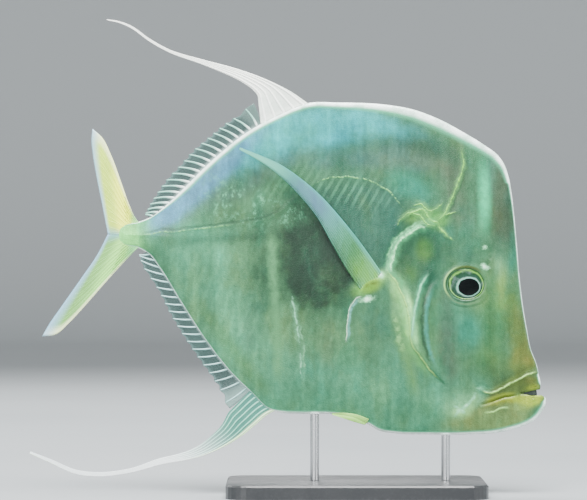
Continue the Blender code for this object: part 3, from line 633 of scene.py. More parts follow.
print("patches:", len(PATCHES), "made of", sum(len(bells) for bells in PATCHES.values()), "bells")

# %% [markdown]
# ## The skin's finish
#
# The base is a grey-green silver. Under it the crystals act like a dull mirror, so the shader is a
# little metallic and quite smooth, with a clear coat for the slime that covers a living fish. Light
# and dark streaks run down the flank, where the muscle blocks show through. Strokes along the lines
# come last, each with its own width, and the same strokes raise the finest relief.

# %% Patches, streaks and scales

SILVER_GREEN = (0.027, 0.099, 0.046)
PAINTS = [
    ("sage", (0.046, 0.136, 0.056), 0.90),
    ("pale", (0.040, 0.186, 0.096), 0.85),
    ("green", (0.038, 0.120, 0.034), 0.80),
    ("olive", (0.035, 0.096, 0.073), 0.80),
    ("umber", (0.028, 0.052, 0.030), 0.90),
    ("dark", (0.003, 0.012, 0.007), 0.93),
    ("deep_teal", (0.012, 0.055, 0.038), 0.80),
    ("blue", (0.012, 0.290, 0.300), 0.74),
    ("lavender", (0.036, 0.150, 0.235), 0.90),
    ("teal", (0.010, 0.145, 0.090), 0.80),
    ("mauve", (0.050, 0.078, 0.044), 0.80),
    ("ochre", (0.058, 0.092, 0.018), 0.90),
    ("orange", (0.090, 0.080, 0.010), 0.80),
    ("cream", (0.112, 0.195, 0.056), 0.90),
    ("yellow", (0.210, 0.280, 0.012), 0.85),
    ("window", (0.012, 0.050, 0.024), 0.85),
    ("window_glow", (0.036, 0.112, 0.018), 0.75),
    ("star_glow", (0.060, 0.220, 0.040), 0.85),
    ("stem_glow", (0.150, 0.560, 0.130), 0.90),
    ("mint", (0.085, 0.330, 0.170), 0.80),
    ("glow", (0.230, 0.640, 0.220), 0.85),
    ("base_muscle", (0.120, 0.290, 0.024), 0.90),
    ("base_shade", (0.050, 0.060, 0.010), 0.90),
]

skin = Finish("silver_skin", SILVER_GREEN, roughness=0.36, metallic=0.10, specular=0.18)
mottle = skin.noise(70, detail=4, roughness=0.55)
chroma = skin.noise(34, detail=5, roughness=0.6, vector=skin.stretch((1.5, 1, 0.8), (0, 20, 0)))
streaky = skin.noise(30, detail=4, vector=skin.stretch((4.2, 1, 0.40), (0, 3, 0)))
hairs = skin.noise(90, vector=skin.stretch((3.6, 1, 0.22), (0, 4, 0)))
cloud = skin.noise(22, detail=5, roughness=0.6)
speckle = skin.noise(380, detail=4, roughness=0.7, vector=skin.stretch((1.3, 1, 0.7)))
grain = skin.noise(130, detail=5, roughness=0.7)
for layer, colour, strength in PAINTS:
    ragged = skin.times(skin.paint(layer), skin.ramp(mottle, 0.3, 0.7, 0.62, 1.3, smooth=False))
    skin.over(colour, skin.ramp(ragged, 0.04, 0.96), strength)
skin.tint((1.34, 1.00, 0.84), skin.ramp(chroma, 0.50, 0.66, 0.0, 0.80))
skin.tint((0.62, 1.05, 1.18), skin.ramp(chroma, 0.49, 0.34, 0.0, 0.65))
for pattern, *ranges in (
    (cloud, 0.30, 0.70, 0.78, 1.28), (streaky, 0.25, 0.75, 1.24, 0.78), (hairs, 0.30, 0.75, 0.90, 1.16),
    (speckle, 0.30, 0.72, 0.84, 1.20), (grain, 0.30, 0.70, 0.84, 1.18),
):
    skin.shade(skin.ramp(pattern, *ranges, smooth=False))
muscle = skin.times(skin.paint("muscle"), skin.ramp(skin.bands(0.86, -0.5, 4.3), 0.45, 0.95))
skin.tint((2.1, 2.2, 2.1), muscle, 0.95)
veiled = skin.times(skin.paint("veiled"), skin.ramp(skin.bands(0.94, -0.34, 6.4, 0.6), 0.5, 1.0))
skin.tint((1.7, 1.7, 1.7), veiled, 0.22)
flecks = skin.noise(330, detail=5, roughness=0.75, vector=skin.stretch((1, 1, 0.75), (0, 18, 0)))
clusters = skin.ramp(skin.noise(75), 0.40, 0.58)
glint = skin.times(skin.times(skin.paint("sparkle"), clusters), skin.ramp(flecks, 0.48, 0.66))
skin.over((0.110, 0.480, 0.250), glint, 0.65)
scales = skin.cells(700, skin.stretch((1, 0.25, 1.2)))
skin.over((0.012, 0.040, 0.022), skin.ramp(scales, 0.10, 0.0), 0.16)
print("paint layers:", len(PAINTS))

# %% Strokes along the lines

raised = []


def drawn(name, width, colour, strength, relief=False, **rest):
    """A stroke of one colour over the skin, along one of its lines. relief marks those that stand up."""
    mark = skin.line(name, width, **rest)
    skin.over(colour, mark, strength)
    if relief:
        raised.append(mark)
    return mark


CREAM = (0.340, 0.680, 0.170)
# A painted highlight down the forehead, where its slope turns.
drawn("forehead_highlight", 5.4, (0.022, 0.440, 0.200), 0.90, fade=24, ragged=0.6, broken=0.25)
drawn("stripe", 4.8, (0.064, 0.210, 0.085), 0.85, fade=12, ragged=1.2, broken=0.30)
drawn("streak", 3.2, (0.085, 0.290, 0.150), 0.60, fade=12, ragged=1.6, broken=0.75)
drawn("streak", 0.8, (0.170, 0.480, 0.290), 0.85, fade=5, ragged=0.8, broken=1)
drawn("streak", 0.8, (0.150, 0.420, 0.220), 0.50, start=18, fade=8, shift=1.8, ragged=1, broken=1)
# The gill arch's strokes: the pale edge of the gill cover, and in the brightest, thinnest of them a
# painted highlight along its free edge.
drawn("gill_arch", 4.4, (0.050, 0.340, 0.130), 0.60,
      stop=62, fade=8, shift=1.4, ragged=1.4, broken=0.4)
drawn("gill_arch", 5.0, (0.070, 0.250, 0.060), 0.75,
      start=44, stop=112, fade=14, shift=-1.6, ragged=1.2, broken=0.4)
drawn("gill_arch", 2.0, (0.110, 0.480, 0.190), 0.70,
      start=4, stop=48, fade=8, shift=1.2, ragged=1.3, broken=0.5)
drawn("gill_arch", 2.4, (0.260, 0.620, 0.160), 0.65,
      start=40, stop=92, fade=12, shift=-0.8, ragged=1, broken=0.6)
drawn("gill_arch", 0.85, (0.360, 0.840, 0.420), 0.85,
      start=2, stop=46, fade=7, shift=1.8, ragged=1, broken=0.7)
drawn("gill_arch", 0.9, (0.100, 0.420, 0.170), 0.70,
      stop=40, fade=7, shift=-1.2, ragged=1.2, broken=0.8)
drawn("gill_arch", 0.80, CREAM, 0.92, start=40, fade=10, ragged=0.5, broken=0.5, relief=True)
drawn("gill_band", 5.4, (0.075, 0.210, 0.060), 0.70, fade=16, ragged=1.4, broken=0.3)
drawn("gill_band", 2.6, (0.240, 0.600, 0.190), 0.35,
      stop=34, fade=12, shift=-0.4, ragged=0.7, broken=0.8, relief=True)
drawn("inner_gill", 3.0, (0.030, 0.260, 0.130), 0.70, fade=9, ragged=0.8, broken=0.4)
drawn("inner_gill", 1.1, (0.180, 0.620, 0.340), 0.85, fade=8, ragged=0.5, broken=0.4, relief=True)
drawn("cheek", 2.0, (0.026, 0.200, 0.150), 0.80, fade=10, ragged=0.8, broken=0.3, relief=True)
drawn("cheek", 1.6, (0.007, 0.030, 0.015), 0.75, fade=12, shift=-2.2, ragged=0.8, broken=0.3)
for name in ("star_up", "star_down", "star_rear", "star_loop"):
    drawn(name, 1.4, (0.010, 0.036, 0.020), 0.60, fade=6, shift=-1.8, ragged=0.9, broken=0.6)
for name in ("star_up", "star_down", "star_rear", "star_loop", "star_net"):
    drawn(name, 2.6, (0.085, 0.290, 0.070), 0.55, fade=7, ragged=1.2, broken=0.5)
for name, width, fade in (("star_up", 0.6, 9), ("star_front", 0.5, 2.5), ("star_down", 0.9, 3),
                          ("star_rear", 0.8, 2.5), ("star_loop", 0.5, 3), ("star_net", 0.5, 3)):
    drawn(name, width, (0.190, 0.560, 0.080), 0.80, fade=fade, ragged=0.8, broken=0.8, relief=True)
lateral = skin.math("MAXIMUM", skin.line("lateral", 0.75, stop=62, fade=10, ragged=0.5),
                    skin.line("lateral", 0.75, start=112, fade=14, ragged=0.4))
pores = skin.times(lateral, skin.ramp(skin.noise(520, detail=1), 0.42, 0.60, 0.10, 0.9))
skin.over((0.130, 0.440, 0.130), pores, 0.90)
drawn("lateral", 1.3, (0.006, 0.026, 0.012), 0.55, start=78, fade=12, shift=-1.5, ragged=0.6)
drawn("scar", 1.6, (0.120, 0.400, 0.360), 0.70, fade=8, shift=0.8, ragged=0.9, broken=0.5)
drawn("scar", 0.55, (0.500, 0.740, 0.520), 0.90, fade=4, ragged=0.5, broken=0.5, relief=True)
drawn("jaw_bone", 0.85, (0.340, 0.640, 0.150), 0.95, fade=5, ragged=0.5, broken=0.45, relief=True)
drawn("jaw_bone", 1.1, (0.020, 0.045, 0.006), 0.60, fade=4, shift=-1.5)
for name in ("joint_front", "joint_rear"):
    drawn(name, 1.3, (0.180, 0.560, 0.330), 0.80, fade=2.5, ragged=0.9, broken=0.5)
drawn("jaw_gleam", 1.0, CREAM, 0.92, fade=3.5, ragged=0.5, broken=0.4, relief=True)
drawn("mouth", 2.4, (0.150, 0.210, 0.010), 0.75, fade=6, shift=-1, ragged=0.4)
mouth = drawn("mouth", 0.5, (0.020, 0.032, 0.006), 0.70, start=1, fade=8, ragged=0.3)
gleam = skin.paint("gleam")
frayed = skin.ramp(skin.noise(300, detail=5, roughness=0.75), 0.28, 0.72, -0.45, 0.35, smooth=False)
gleaming = skin.times(skin.math("ADD", gleam, frayed), skin.ramp(gleam, 0.05, 0.25))
skin.over((0.240, 0.640, 0.340), skin.ramp(gleaming, 0.0, 0.7), 0.80)
skin.over((0.640, 0.920, 0.700), skin.ramp(gleaming, 0.45, 1.0), 0.90)
print("strokes that stand up:", len(raised))

# %% Rims, eye rings and relief

# The bright rim is a painted highlight, a green band with a near-white line at the edge: paint by the
# depth inside the outline, as wide as the mesh's rim layer says.
rim = skin.math("DIVIDE", skin.paint("depth"), skin.paint("rim_width"))
rim_highlight_break = skin.ramp(skin.noise(160), 0.30, 0.60, 0.55, 1.0)
skin.over((0.080, 0.400, 0.220), skin.ramp(rim, 1.9, 0.9), 0.75)
skin.over((0.850, 0.960, 0.900), skin.times(skin.ramp(rim, 1.25, 0.45), rim_highlight_break))

# Each ring: its side of the eye, its middle and half width in ellipses, its colour and strength.
RINGS = [
    ("above_eye", 1.16, 0.16, (0.044, 0.068, 0.010), 0.92),
    ("behind_eye", 1.24, 0.09, (0.220, 0.440, 0.130), 0.85),
    ("behind_eye", 1.13, 0.09, (0.008, 0.030, 0.010), 0.80),
    ("below_eye", 1.16, 0.10, (0.008, 0.032, 0.016), 0.85),
    ("below_eye", 1.32, 0.10, (0.100, 0.230, 0.100), 0.60),
    ("below_eye", 1.50, 0.10, (0.014, 0.048, 0.020), 0.55),
]
rings = skin.paint("eye_ring")
for sector, middle, width, colour, strength in RINGS:
    near = skin.ramp(skin.math("ABSOLUTE", skin.math("SUBTRACT", rings, middle)), width, 0.0)
    skin.over(colour, skin.times(near, skin.paint(sector)), strength)

relief = raised[0]
for mark in raised[1:]:
    relief = skin.math("MAXIMUM", relief, mark)
skin.bump(relief, 0.00035, 0.8)
skin.bump(pores, 0.00018, 0.8)
skin.bump(mouth, -0.0003)
skin.bump(skin.ramp(scales, 0.0, 0.16), 0.00005)
skin.bump(streaky, 0.0003, 0.5)
satin = skin.ramp(skin.noise(900, detail=2), 0.3, 0.7, 0.0, 0.08)
skin.rough(skin.math("ADD", skin.ramp(mottle, 0.3, 0.7, 0.28, 0.40), satin))
skin.coat(0.12, 0.18)
print("skin nodes:", len(skin.nodes))

# %% [markdown]
# ## The skin
#
# Both flanks, the head, the jaws and the tail stem are one surface, so that no seam shows. The
# simplest grid for a flat fish would be rows and columns, but the outline would cut it into steps.
# This grid follows the fish instead. One number runs along the spine, from the tail's end to the
# corner of the mouth. The other runs from the belly's edge over the spine to the back's edge. Near
# the edge the grid steps straight inwards, so that the rim is a true round, and at both ends the
# upper and the lower half meet and are welded.

# %% The side view's grid

ALONG = 330
INNER_STEPS = 64
EDGE_STEPS = np.array([0.0, 0.04, 0.16, 0.4, 0.75, 1.25, 1.9, 2.8, 4.0])
NORMAL_SMOOTHING = 30
LIP_ROOM = 0.289  # the straight part near the mouth, as a share of the distance to its corner
LEAST_ROOM = 0.02


def smoothed(values, times):
    """Each value replaced by the mean of its neighbours, again and again, with the ends held."""
    for _ in range(times):
        values[1:-1] = (values[:-2] + 2 * values[1:-1] + values[2:]) / 4
    return values


def column_shares():
    """Shares of the length for the columns, closer at both ends, where the curves are tight."""
    even = np.linspace(0.0, 1.0, ALONG + 1)
    closeness = 1.0 + 1.6 * rising(even, 0.7, 1.0) ** 2 + rising(even, 0.08, 0.0)
    places = np.concatenate([[0.0], np.cumsum(1 / ((closeness[1:] + closeness[:-1]) / 2))])
    return places / places[-1]


def half_grid(edge, inwards):
    """Points from an edge to the spine: straight in for the first steps, then blended to the spine.

    The straight part is four millimetres, and less near the corner of the mouth, so that the columns
    of the lip and those of the chin never cross.
    """
    share = column_shares()
    rim, spine = at(edge, share), at(curve(SPINE), share)
    normals = smoothed(left_of(rim) * inwards, NORMAL_SMOOTHING)
    normals /= np.linalg.norm(normals, axis=1)[:, None]
    to_spine, to_corner = (np.linalg.norm(rim - goal, axis=1) for goal in (spine, spine[-1]))
    room = np.minimum(0.5 * to_spine, LIP_ROOM * to_corner + LEAST_ROOM)
    reach = np.minimum(EDGE_STEPS[-1], room)[:, None, None]
    steps = EDGE_STEPS[None, :, None] / EDGE_STEPS[-1]
    near = rim[:, None] + normals[:, None] * steps * reach
    blend = np.linspace(0.0, 1.0, INNER_STEPS + 1)[1:][None, :, None]
    far = near[:, -1:] * (1 - blend) + spine[:, None] * blend
    return np.concatenate([near, far], axis=1)


upper = half_grid(upper_edge, -1.0)
lower = half_grid(lower_edge, 1.0)
side_view = np.concatenate([lower, upper[:, -2::-1]], axis=1)
for end in (0, -1):
    side_view[end] = (side_view[end] + side_view[end, ::-1]) / 2
diagonals = side_view[1:, 1:] - side_view[:-1, :-1], side_view[:-1, 1:] - side_view[1:, :-1]
areas = np.cross(*diagonals) / 2
print("grid:", side_view.shape, "folded cells:", int((areas < -1e-4).sum()))

# %% Marks that stand above the skin or sink into it

COVER_HEIGHT, COVER_REACH = 0.85, 8.0
SLIT_DEPTH, SLIT_REACH = 0.95, 1.8
STEP_HALF, STEP_SPREAD = 0.9, 6.0
SLIT_START, SLIT_STOP, SLIT_FADE = 2.0, 122.0, 8.0
# Each ridge or groove: its line, how far to the left of it, its half width and its height.
RIDGES = [
    ("jaw_bone", 0.0, 1.5, 0.45), ("jaw_bone", -2.4, 1.5, -0.35), ("inner_gill", 0.0, 1.6, 0.30),
    ("cheek", 0.0, 2.0, 0.40), ("cheek", -3.0, 1.8, -0.30), ("lateral", 0.0, 1.2, 0.15),
]
EYE_FOLDS = [(1.22, 0.12, 0.35), (1.42, 0.14, -0.2)]
# The pad of the pectoral fin and the hollow of the gill window: middle, reach, tilt and height.
PADS = [((47.5, 122.6), (7.0, 2.9), 27, 0.8), ((76.5, 143.5), (5.6, 8.0), -8, -0.8)]
NOSTRIL_RADIUS, NOSTRIL_HALF = 1.5, 0.8


def gill_cover_step(offset, along):
    """The free edge of the gill cover: the cover stands proud up to its edge, the slit sinks behind.

    offset is positive inside the cover. The step fades at both ends of the slit.
    """
    proud = COVER_HEIGHT * np.exp(-np.clip(offset, 0, None) / COVER_REACH)
    slit = -SLIT_DEPTH * np.exp(-np.clip(-offset, 0, None) / SLIT_REACH)
    share = rising(offset, -STEP_HALF, STEP_HALF)
    start = rising(along, SLIT_START, SLIT_START + SLIT_FADE)
    stop = rising(along, SLIT_STOP, SLIT_STOP - SLIT_FADE)
    spread = np.exp(-np.clip(np.abs(offset) / STEP_SPREAD - 1, 0, None))
    return (proud * share + slit * (1 - share)) * start * stop * spread


def marks(points, beside_lines):
    """What the features add to the half width: lips, jaw, socket, gill cover, pad and nostrils."""
    from_mouth, along_mouth = beside_lines["mouth"]
    lips = 0.6 * ridge(from_mouth, 2.6) - 0.9 * ridge(from_mouth, 0.9)
    height = lips * rising(along_mouth, 0, 5) + gill_cover_step(*beside_lines["gill_arch"])
    for name, shift, half, top in RIDGES:
        height += top * ridge(beside_lines[name][0] - shift, half)
    stars = [ridge(beside_lines[name][0], 1.4) for name in LINES if name.startswith("star")]
    height += 0.28 * np.max(stars, axis=0)
    for ring, half, top in EYE_FOLDS:
        height += top * ridge(eye_rings(points) - ring, half)
    for middle, reach, tilt, top in PADS:
        height += top * bell(points, middle, reach, tilt)
    for nostril in NOSTRILS:
        away = np.linalg.norm(points - np.array(nostril), axis=-1)
        height += 0.3 * ridge(away - NOSTRIL_RADIUS, NOSTRIL_HALF) - 0.8 * ridge(away, NOSTRIL_HALF)
    return height


# %% The flank's height, and how wide the painted highlight on its rim is

SOCKET_DEPTH = 3.0
TAIL_THINNING = 0.78
MARKS_FROM_RIM = 2.5

depth = away_from(side_view, closed_outline[::2])
depth[:, [0, -1]] = 0.0
beside_lines = {name: beside(side_view, path) for name, path in LINE_PATHS.items()}
x, z = side_view[..., 0], side_view[..., 1]
eye_ring = eye_rings(side_view)
plain_half = half_width(side_view, depth) * (1 - TAIL_THINNING * rising(x, -80, -99)) - SKIN_INSET
features = marks(side_view, beside_lines) * rising(depth, 0, MARKS_FROM_RIM)
rounding = np.sqrt(1 - (1 - rising(depth, 0, RIM_RADIUS)) ** 2)
skin_half = (plain_half + features - SOCKET_DEPTH * rising(eye_ring, 1.02, 0.86)) * rounding

# How wide the painted highlight along the rim is: wider on the back, the nape, under the belly and at the
# chin, narrower on the snout.
on_back = (z > 152) * rising(x, -75, -55) * rising(x, 131, 121)
on_nape = (z > 180) * ridge(x - 82, 38)
under_belly = (z < 70) * rising(x, -12, -2)
on_snout = (x > 112) * ridge(z - 78, 24)
on_chin = (z < 60) * rising(x, 96, 136)
rim_width = 0.6 - 0.3 * on_snout + 1.5 * on_back + 2.2 * on_nape + 0.6 * under_belly + 0.7 * on_chin
off_lips = rising(away_from(side_view, np.array(UPPER_LIP_EDGE + LOWER_LIP_EDGE)), 2, 4)
print("half width:", round(float(skin_half.max()), 2), "rim:", round(float(rim_width.max()), 2), "mm")

# %% Both flanks as one mesh

# Headings from the eye, in radians, and how far each sector spreads to its sides.
EYE_SECTORS = {"above_eye": (1.5, 0.8), "behind_eye": (2.9, 0.85), "below_eye": (-1.6, 0.9)}

paint = patches(side_view)
paint.update(depth=depth, rim_width=rim_width * np.maximum(off_lips, 0.02), eye_ring=eye_ring)
heading = np.arctan2(z - EYE_RIM_CENTRE[1], x - EYE_RIM_CENTRE[0])
for sector, (middle, spread) in EYE_SECTORS.items():
    turn_away = np.abs((heading - middle + math.pi) % math.tau - math.pi)
    paint[sector] = np.exp(-((turn_away / spread) ** 4))
for name, (offset, along) in beside_lines.items():
    paint["line_" + name] = np.stack([offset, along, np.zeros_like(offset)], axis=-1)

columns, rows = side_view.shape[:2]
count = columns * rows
sheets = [in_space(side_view, sign * skin_half) for sign in (-1, 1)]
for name, value in paint.items():
    paint[name] = np.concatenate([value.reshape(count, *value.shape[2:])] * 2)
flanks = [quads(columns, rows), quads(columns, rows, start=count)[:, ::-1]]
points, faces, paint = weld(np.concatenate(sheets), flanks, paint)
body = make_mesh("skin", points, faces, skin.material, paint)
finish_piece(body, "trunk_skin", "head", "upper_jaw", "lower_jaw", "trunk", "tail_stem",
             "gill_cover_right", "gill_cover_left")

# %% [markdown]
# ## Fins between four curves
#
# A fin is a thin skin stretched over rays. Its root, its leading edge, its trailing edge and its
# outer edge are four curves, and a Coons patch fills them: the blend of the two side curves plus the
# blend of the root and the outer edge, less the blend of the four corners. The same patch places the
# rays, which run from the root outwards at an even share of the width. A modelled plane with a
# drawn texture would be flat. Here each ray is a tapered rod of its own.

# %% The patch, the membrane and the rays

ROD_SIDES = 8
LEAN_PLACES = 61
BEHIND_ROOT = 1000.0  # added to a distance that lies on the wrong side of the root


def patch(sides, across, out):
    """Points of a Coons patch. across runs from the leading to the trailing edge, out from the root.

    The last of the sides pairs shares of the root with shares of the outer edge, for rays that lean.
    """
    root, outer, lead, trail, meets = sides
    u, v = np.asarray(across)[..., None], np.asarray(out)[..., None]
    corners = (
        (1 - u) * (1 - v) * root[0] + u * (1 - v) * root[-1]
        + (1 - u) * v * outer[0] + u * v * outer[-1]
    )
    return (
        (1 - u) * at(lead, out) + u * at(trail, out)
        + (1 - v) * at(root, across) + v * at(outer, np.interp(across, *meets)) - corners
    )


def closed_sheet(grid, middle, half):
    """A thin solid over a grid: a right face, a left face and a wall round their shared border."""
    columns, rows = grid.shape[:2]
    count = columns * rows
    index = np.arange(count).reshape(columns, rows)
    loop = np.concatenate([index[:-1, 0], index[-1, :-1], index[:0:-1, -1], index[0, :0:-1]])
    following = np.roll(loop, -1)
    wall = np.stack([following, loop, loop + count, following + count], axis=1)
    front = quads(columns, rows)
    groups = [front, front[:, ::-1] + count, wall]
    corner = grid.reshape(-1, 2)[front]
    if np.cross(corner[:, 1] - corner[:, 0], corner[:, 2] - corner[:, 1]).sum() < 0:
        groups = [group[:, ::-1] for group in groups]
    return np.concatenate([in_space(grid, middle + sign * half) for sign in (-1, 1)]), groups


def rods(paths, middles, wide, thick):
    """Tapered rods along many paths at once: an ellipse carried along each, closed at both ends.

    paths is rods by rows by 2. wide is the half width in the side view and thick the half thickness.
    """
    count, rows = paths.shape[:2]
    direction = np.gradient(paths, axis=1)
    direction /= np.linalg.norm(direction, axis=2)[..., None]
    normal = np.stack([-direction[..., 1], direction[..., 0]], axis=2)
    angles = np.arange(ROD_SIDES) * math.tau / ROD_SIDES
    spots = paths[:, :, None] + normal[:, :, None] * (wide[..., None] * np.cos(angles))[..., None]
    points = in_space(spots, middles[..., None] + thick[..., None] * np.sin(angles))
    starts = np.arange(count) * rows * ROD_SIDES
    faces = np.concatenate([quads(rows, ROD_SIDES, start=start, wrap=True) for start in starts])
    ends = starts[:, None] + np.arange(ROD_SIDES)
    caps = np.concatenate([ends[:, ::-1], ends + (rows - 1) * ROD_SIDES])
    return points, [faces[:, ::-1], caps[:, ::-1]]


def body_edge(start, end, sunk=0.9):
    """The stretch of the outline between two places, moved into the body so that roots are covered."""
    line = outline - sunk * left_of(outline)
    first, last = (int(np.argmin(np.linalg.norm(outline - np.array(p), axis=1))) for p in (start, end))
    return line[first:last + 1] if first < last else line[last:first + 1][::-1]


def leaning(root, outer, slopes):
    """Which share of the outer edge each share of the root meets, for rays at set slopes.

    From many places of the root a line runs towards the tail, so many degrees above the horizontal.
    Where it meets the outer edge is that ray's tip. The first and the last ray stay at the ends.
    """
    shares = np.linspace(0.0, 1.0, LEAN_PLACES)
    angle = np.radians(np.interp(shares, np.linspace(0, 1, len(slopes)), slopes))
    way = np.stack([-np.cos(angle), np.sin(angle)], axis=1)
    gap = outer[None] - at(root, shares)[:, None]
    across = np.abs(way[:, None, 0] * gap[..., 1] - way[:, None, 1] * gap[..., 0])
    behind = (gap * way[:, None]).sum(axis=2) < 0
    hit = np.argmin(across + BEHIND_ROOT * behind, axis=1)
    run = lengths(outer)
    met = np.maximum.accumulate(run[hit] / run[-1])
    hold = rising(np.minimum(shares, 1 - shares), 0, 0.05)
    met = np.maximum.accumulate(met * hold + shares * (1 - hold))
    return shares, smoothed(met, 6)


# %% [markdown]
# ## The edges of the unpaired fins
#
# The dorsal and the anal fin each begin with a tall lobe of a few long rays that ends in a thread,
# and go on as a low fringe down to the tail. The tail is a deep fork. These curves keep inside the
# edges of the solids, so every fin stays in its own place.

# %% The fins' edges

DORSAL_START, DORSAL_NOTCH_ROOT, DORSAL_END = (13.0, 227.0), (-15.6, 214.6), (-79.5, 160.6)
DORSAL_LEAD = [
    (1.5, 234.0), (-10.0, 239.6), (-27.5, 246.0), (-50.5, 252.2), (-68.0, 257.6), (-79.5, 264.0),
    (-91.0, 272.0), (-97.5, 274.4), (-104.6, 275.6),
]
DORSAL_TRAIL = [
    (-16.6, 227.4), (-17.0, 231.0), (-20.0, 234.8), (-24.4, 238.0), (-29.5, 241.0), (-38.0, 244.8),
    (-50.5, 249.8), (-68.0, 256.2), (-79.5, 262.5), (-91.0, 270.7), (-97.5, 273.5), (-104.6, 275.1),
]
DORSAL_REAR_EDGE = [
    (-19.8, 228.0), (-27.0, 221.0), (-36.5, 214.6), (-45.0, 207.6), (-55.0, 199.0), (-62.0, 191.0),
    (-70.5, 181.8), (-76.5, 173.0), (-81.0, 165.4), (-82.2, 162.4),
]
ANAL_START, ANAL_NOTCH_ROOT, ANAL_END = (-6.6, 48.0), (-21.5, 59.6), (-81.4, 140.2)
ANAL_LEAD = [
    (-11.6, 46.0), (-17.4, 41.0), (-25.2, 34.6), (-33.2, 29.4), (-41.0, 25.4), (-49.0, 22.4),
    (-57.0, 20.4), (-71.0, 18.0), (-91.0, 12.8), (-108.5, 10.6), (-122.0, 11.8), (-137.5, 18.4),
    (-149.4, 23.8),
]
ANAL_TRAIL = [
    (-34.0, 47.6), (-38.2, 39.8), (-44.0, 34.0), (-50.4, 28.8), (-56.5, 25.6), (-64.5, 23.0),
    (-73.5, 20.9), (-91.0, 15.0), (-108.5, 12.8), (-121.6, 14.0), (-136.8, 20.2), (-148.8, 24.8),
]
ANAL_REAR_EDGE = [
    (-34.6, 48.8), (-37.4, 57.4), (-43.0, 67.0), (-50.6, 77.6), (-59.4, 90.6), (-68.0, 104.8),
    (-75.0, 118.8), (-80.6, 127.4), (-84.6, 134.0), (-85.8, 138.8),
]
TAIL_UPPER_ROOT, TAIL_LOWER_ROOT = [(-82.0, 156.0), (-88.0, 150.4)], [(-82.6, 145.4), (-88.0, 151.4)]
TAIL_UPPER_LEAD = [
    (-85.4, 157.4), (-88.6, 161.4), (-91.4, 167.6), (-96.2, 181.0), (-102.0, 196.6), (-107.5, 207.2),
]
TAIL_UPPER_EDGE = [
    (-112.8, 212.0), (-113.4, 206.0), (-112.6, 197.0), (-110.6, 185.0), (-107.2, 168.0),
    (-103.8, 150.6),
]
TAIL_LOWER_LEAD = [
    (-86.4, 143.0), (-91.4, 138.0), (-99.8, 129.0), (-109.4, 118.2), (-119.1, 107.2), (-127.0, 98.8),
    (-134.4, 92.6),
]
TAIL_LOWER_EDGE = [
    (-142.0, 91.6), (-138.0, 98.6), (-131.5, 108.0), (-119.0, 125.8), (-110.0, 139.0),
    (-103.8, 151.0),
]
EVEN = np.array([[0.0, 1.0], [0.0, 1.0]])


def lobe_sides(root, lead, trail):
    """The four curves of a fin that runs out into a filament."""
    lead = curve([tuple(root[0])] + lead)
    trail = np.concatenate([root[-1:], curve(trail)])
    return root, straight(lead[-1], trail[-1]), lead, trail, EVEN


def fringe_sides(root, edge, slopes):
    """The four curves of a low fin whose rays lean towards the tail."""
    outer = curve(edge)
    sides = straight(root[0], outer[0]), straight(root[-1], outer[-1])
    return root, outer, *sides, leaning(root, outer, slopes)


def tail_sides(root, lead, edge):
    """The four curves of a tail lobe, whose leading edge is bowed."""
    outer = curve(edge)
    lead = curve([tuple(root[0])] + lead + [tuple(outer[0])])
    return root, outer, lead, straight(root[-1], outer[-1]), EVEN


# %% [markdown]
# ## The finish of membranes and rays
#
# The long lobes and their threads are milky white. Between the rays of the low fringes the skin is
# as clear as film. Against a pale wall that would vanish, so this membrane is a smoky film that
# still lets light through. The tail is butter yellow, white along its front edges and bluish at its
# rear ones. Each fin carries two layers of paint: how far across it a point lies, and how far out.

# %% Fin finishes


def darker(colour, share):
    """A share of a colour's light."""
    return tuple(share * part for part in colour)


def fin_finish(name, colour, second, tones=(), roughness=0.42, alpha=1.0):
    """A satin fin colour with a second tone in soft streaks, a fine grain, and tones over both.

    A tone goes by one of the fin's paint layers: none of it at the first number, its full strength
    at the second, and where two more numbers follow its colour, it is full at the last and gone
    again at the one before.
    """
    finish = Finish(name, colour, roughness=roughness, specular=0.4)
    finish.over(second, finish.ramp(finish.noise(70, detail=4), 0.40, 0.68), 0.7)
    speck = finish.noise(300)
    finish.over(darker(second, 0.72), finish.ramp(speck, 0.5, 0.75), 0.22)
    finish.bump(speck, 0.0001)
    for layer, none, full, strength, tone, *again in tones:
        share = finish.ramp(finish.paint(layer), none, full, 0.0, strength)
        if again:
            share = finish.times(share, finish.ramp(finish.paint(layer), *again))
        finish.over(tone, share)
    finish.put("Alpha", alpha)
    return finish


LEMON_EDGE = ("across", 0.20, 0.06, 1.0, (0.62, 0.86, 0.50))
TAIL_TONES = [
    ("across", 0.12, 0.02, 0.8, (0.84, 0.90, 0.52)), ("across", 0.88, 1.0, 0.8, (0.12, 0.34, 0.36)),
    ("out", 0.88, 1.0, 0.8, (0.24, 0.44, 0.66)), ("out", 0.24, 0.10, 0.75, (0.15, 0.58, 0.20)),
]
PECTORAL_TONES = [
    ("out", 0.46, 0.18, 0.85, (0.030, 0.150, 0.030)), ("out", 0.20, 0.03, 0.9, (0.120, 0.340, 0.030)),
    ("out", 0.28, 0.50, 0.85, (0.075, 0.150, 0.240), 0.76, 0.60),
    ("out", 0.64, 0.86, 0.9, (0.130, 0.580, 0.430)), ("across", 0.22, 0.02, 0.6, (0.040, 0.340, 0.300)),
    ("across", 0.66, 1.0, 0.7, (0.016, 0.090, 0.045)),
]
FILM_TONES = [("out", 0.20, 0.02, 0.8, (0.26, 0.40, 0.38)), ("out", 0.80, 1.0, 0.7, (0.10, 0.20, 0.19))]

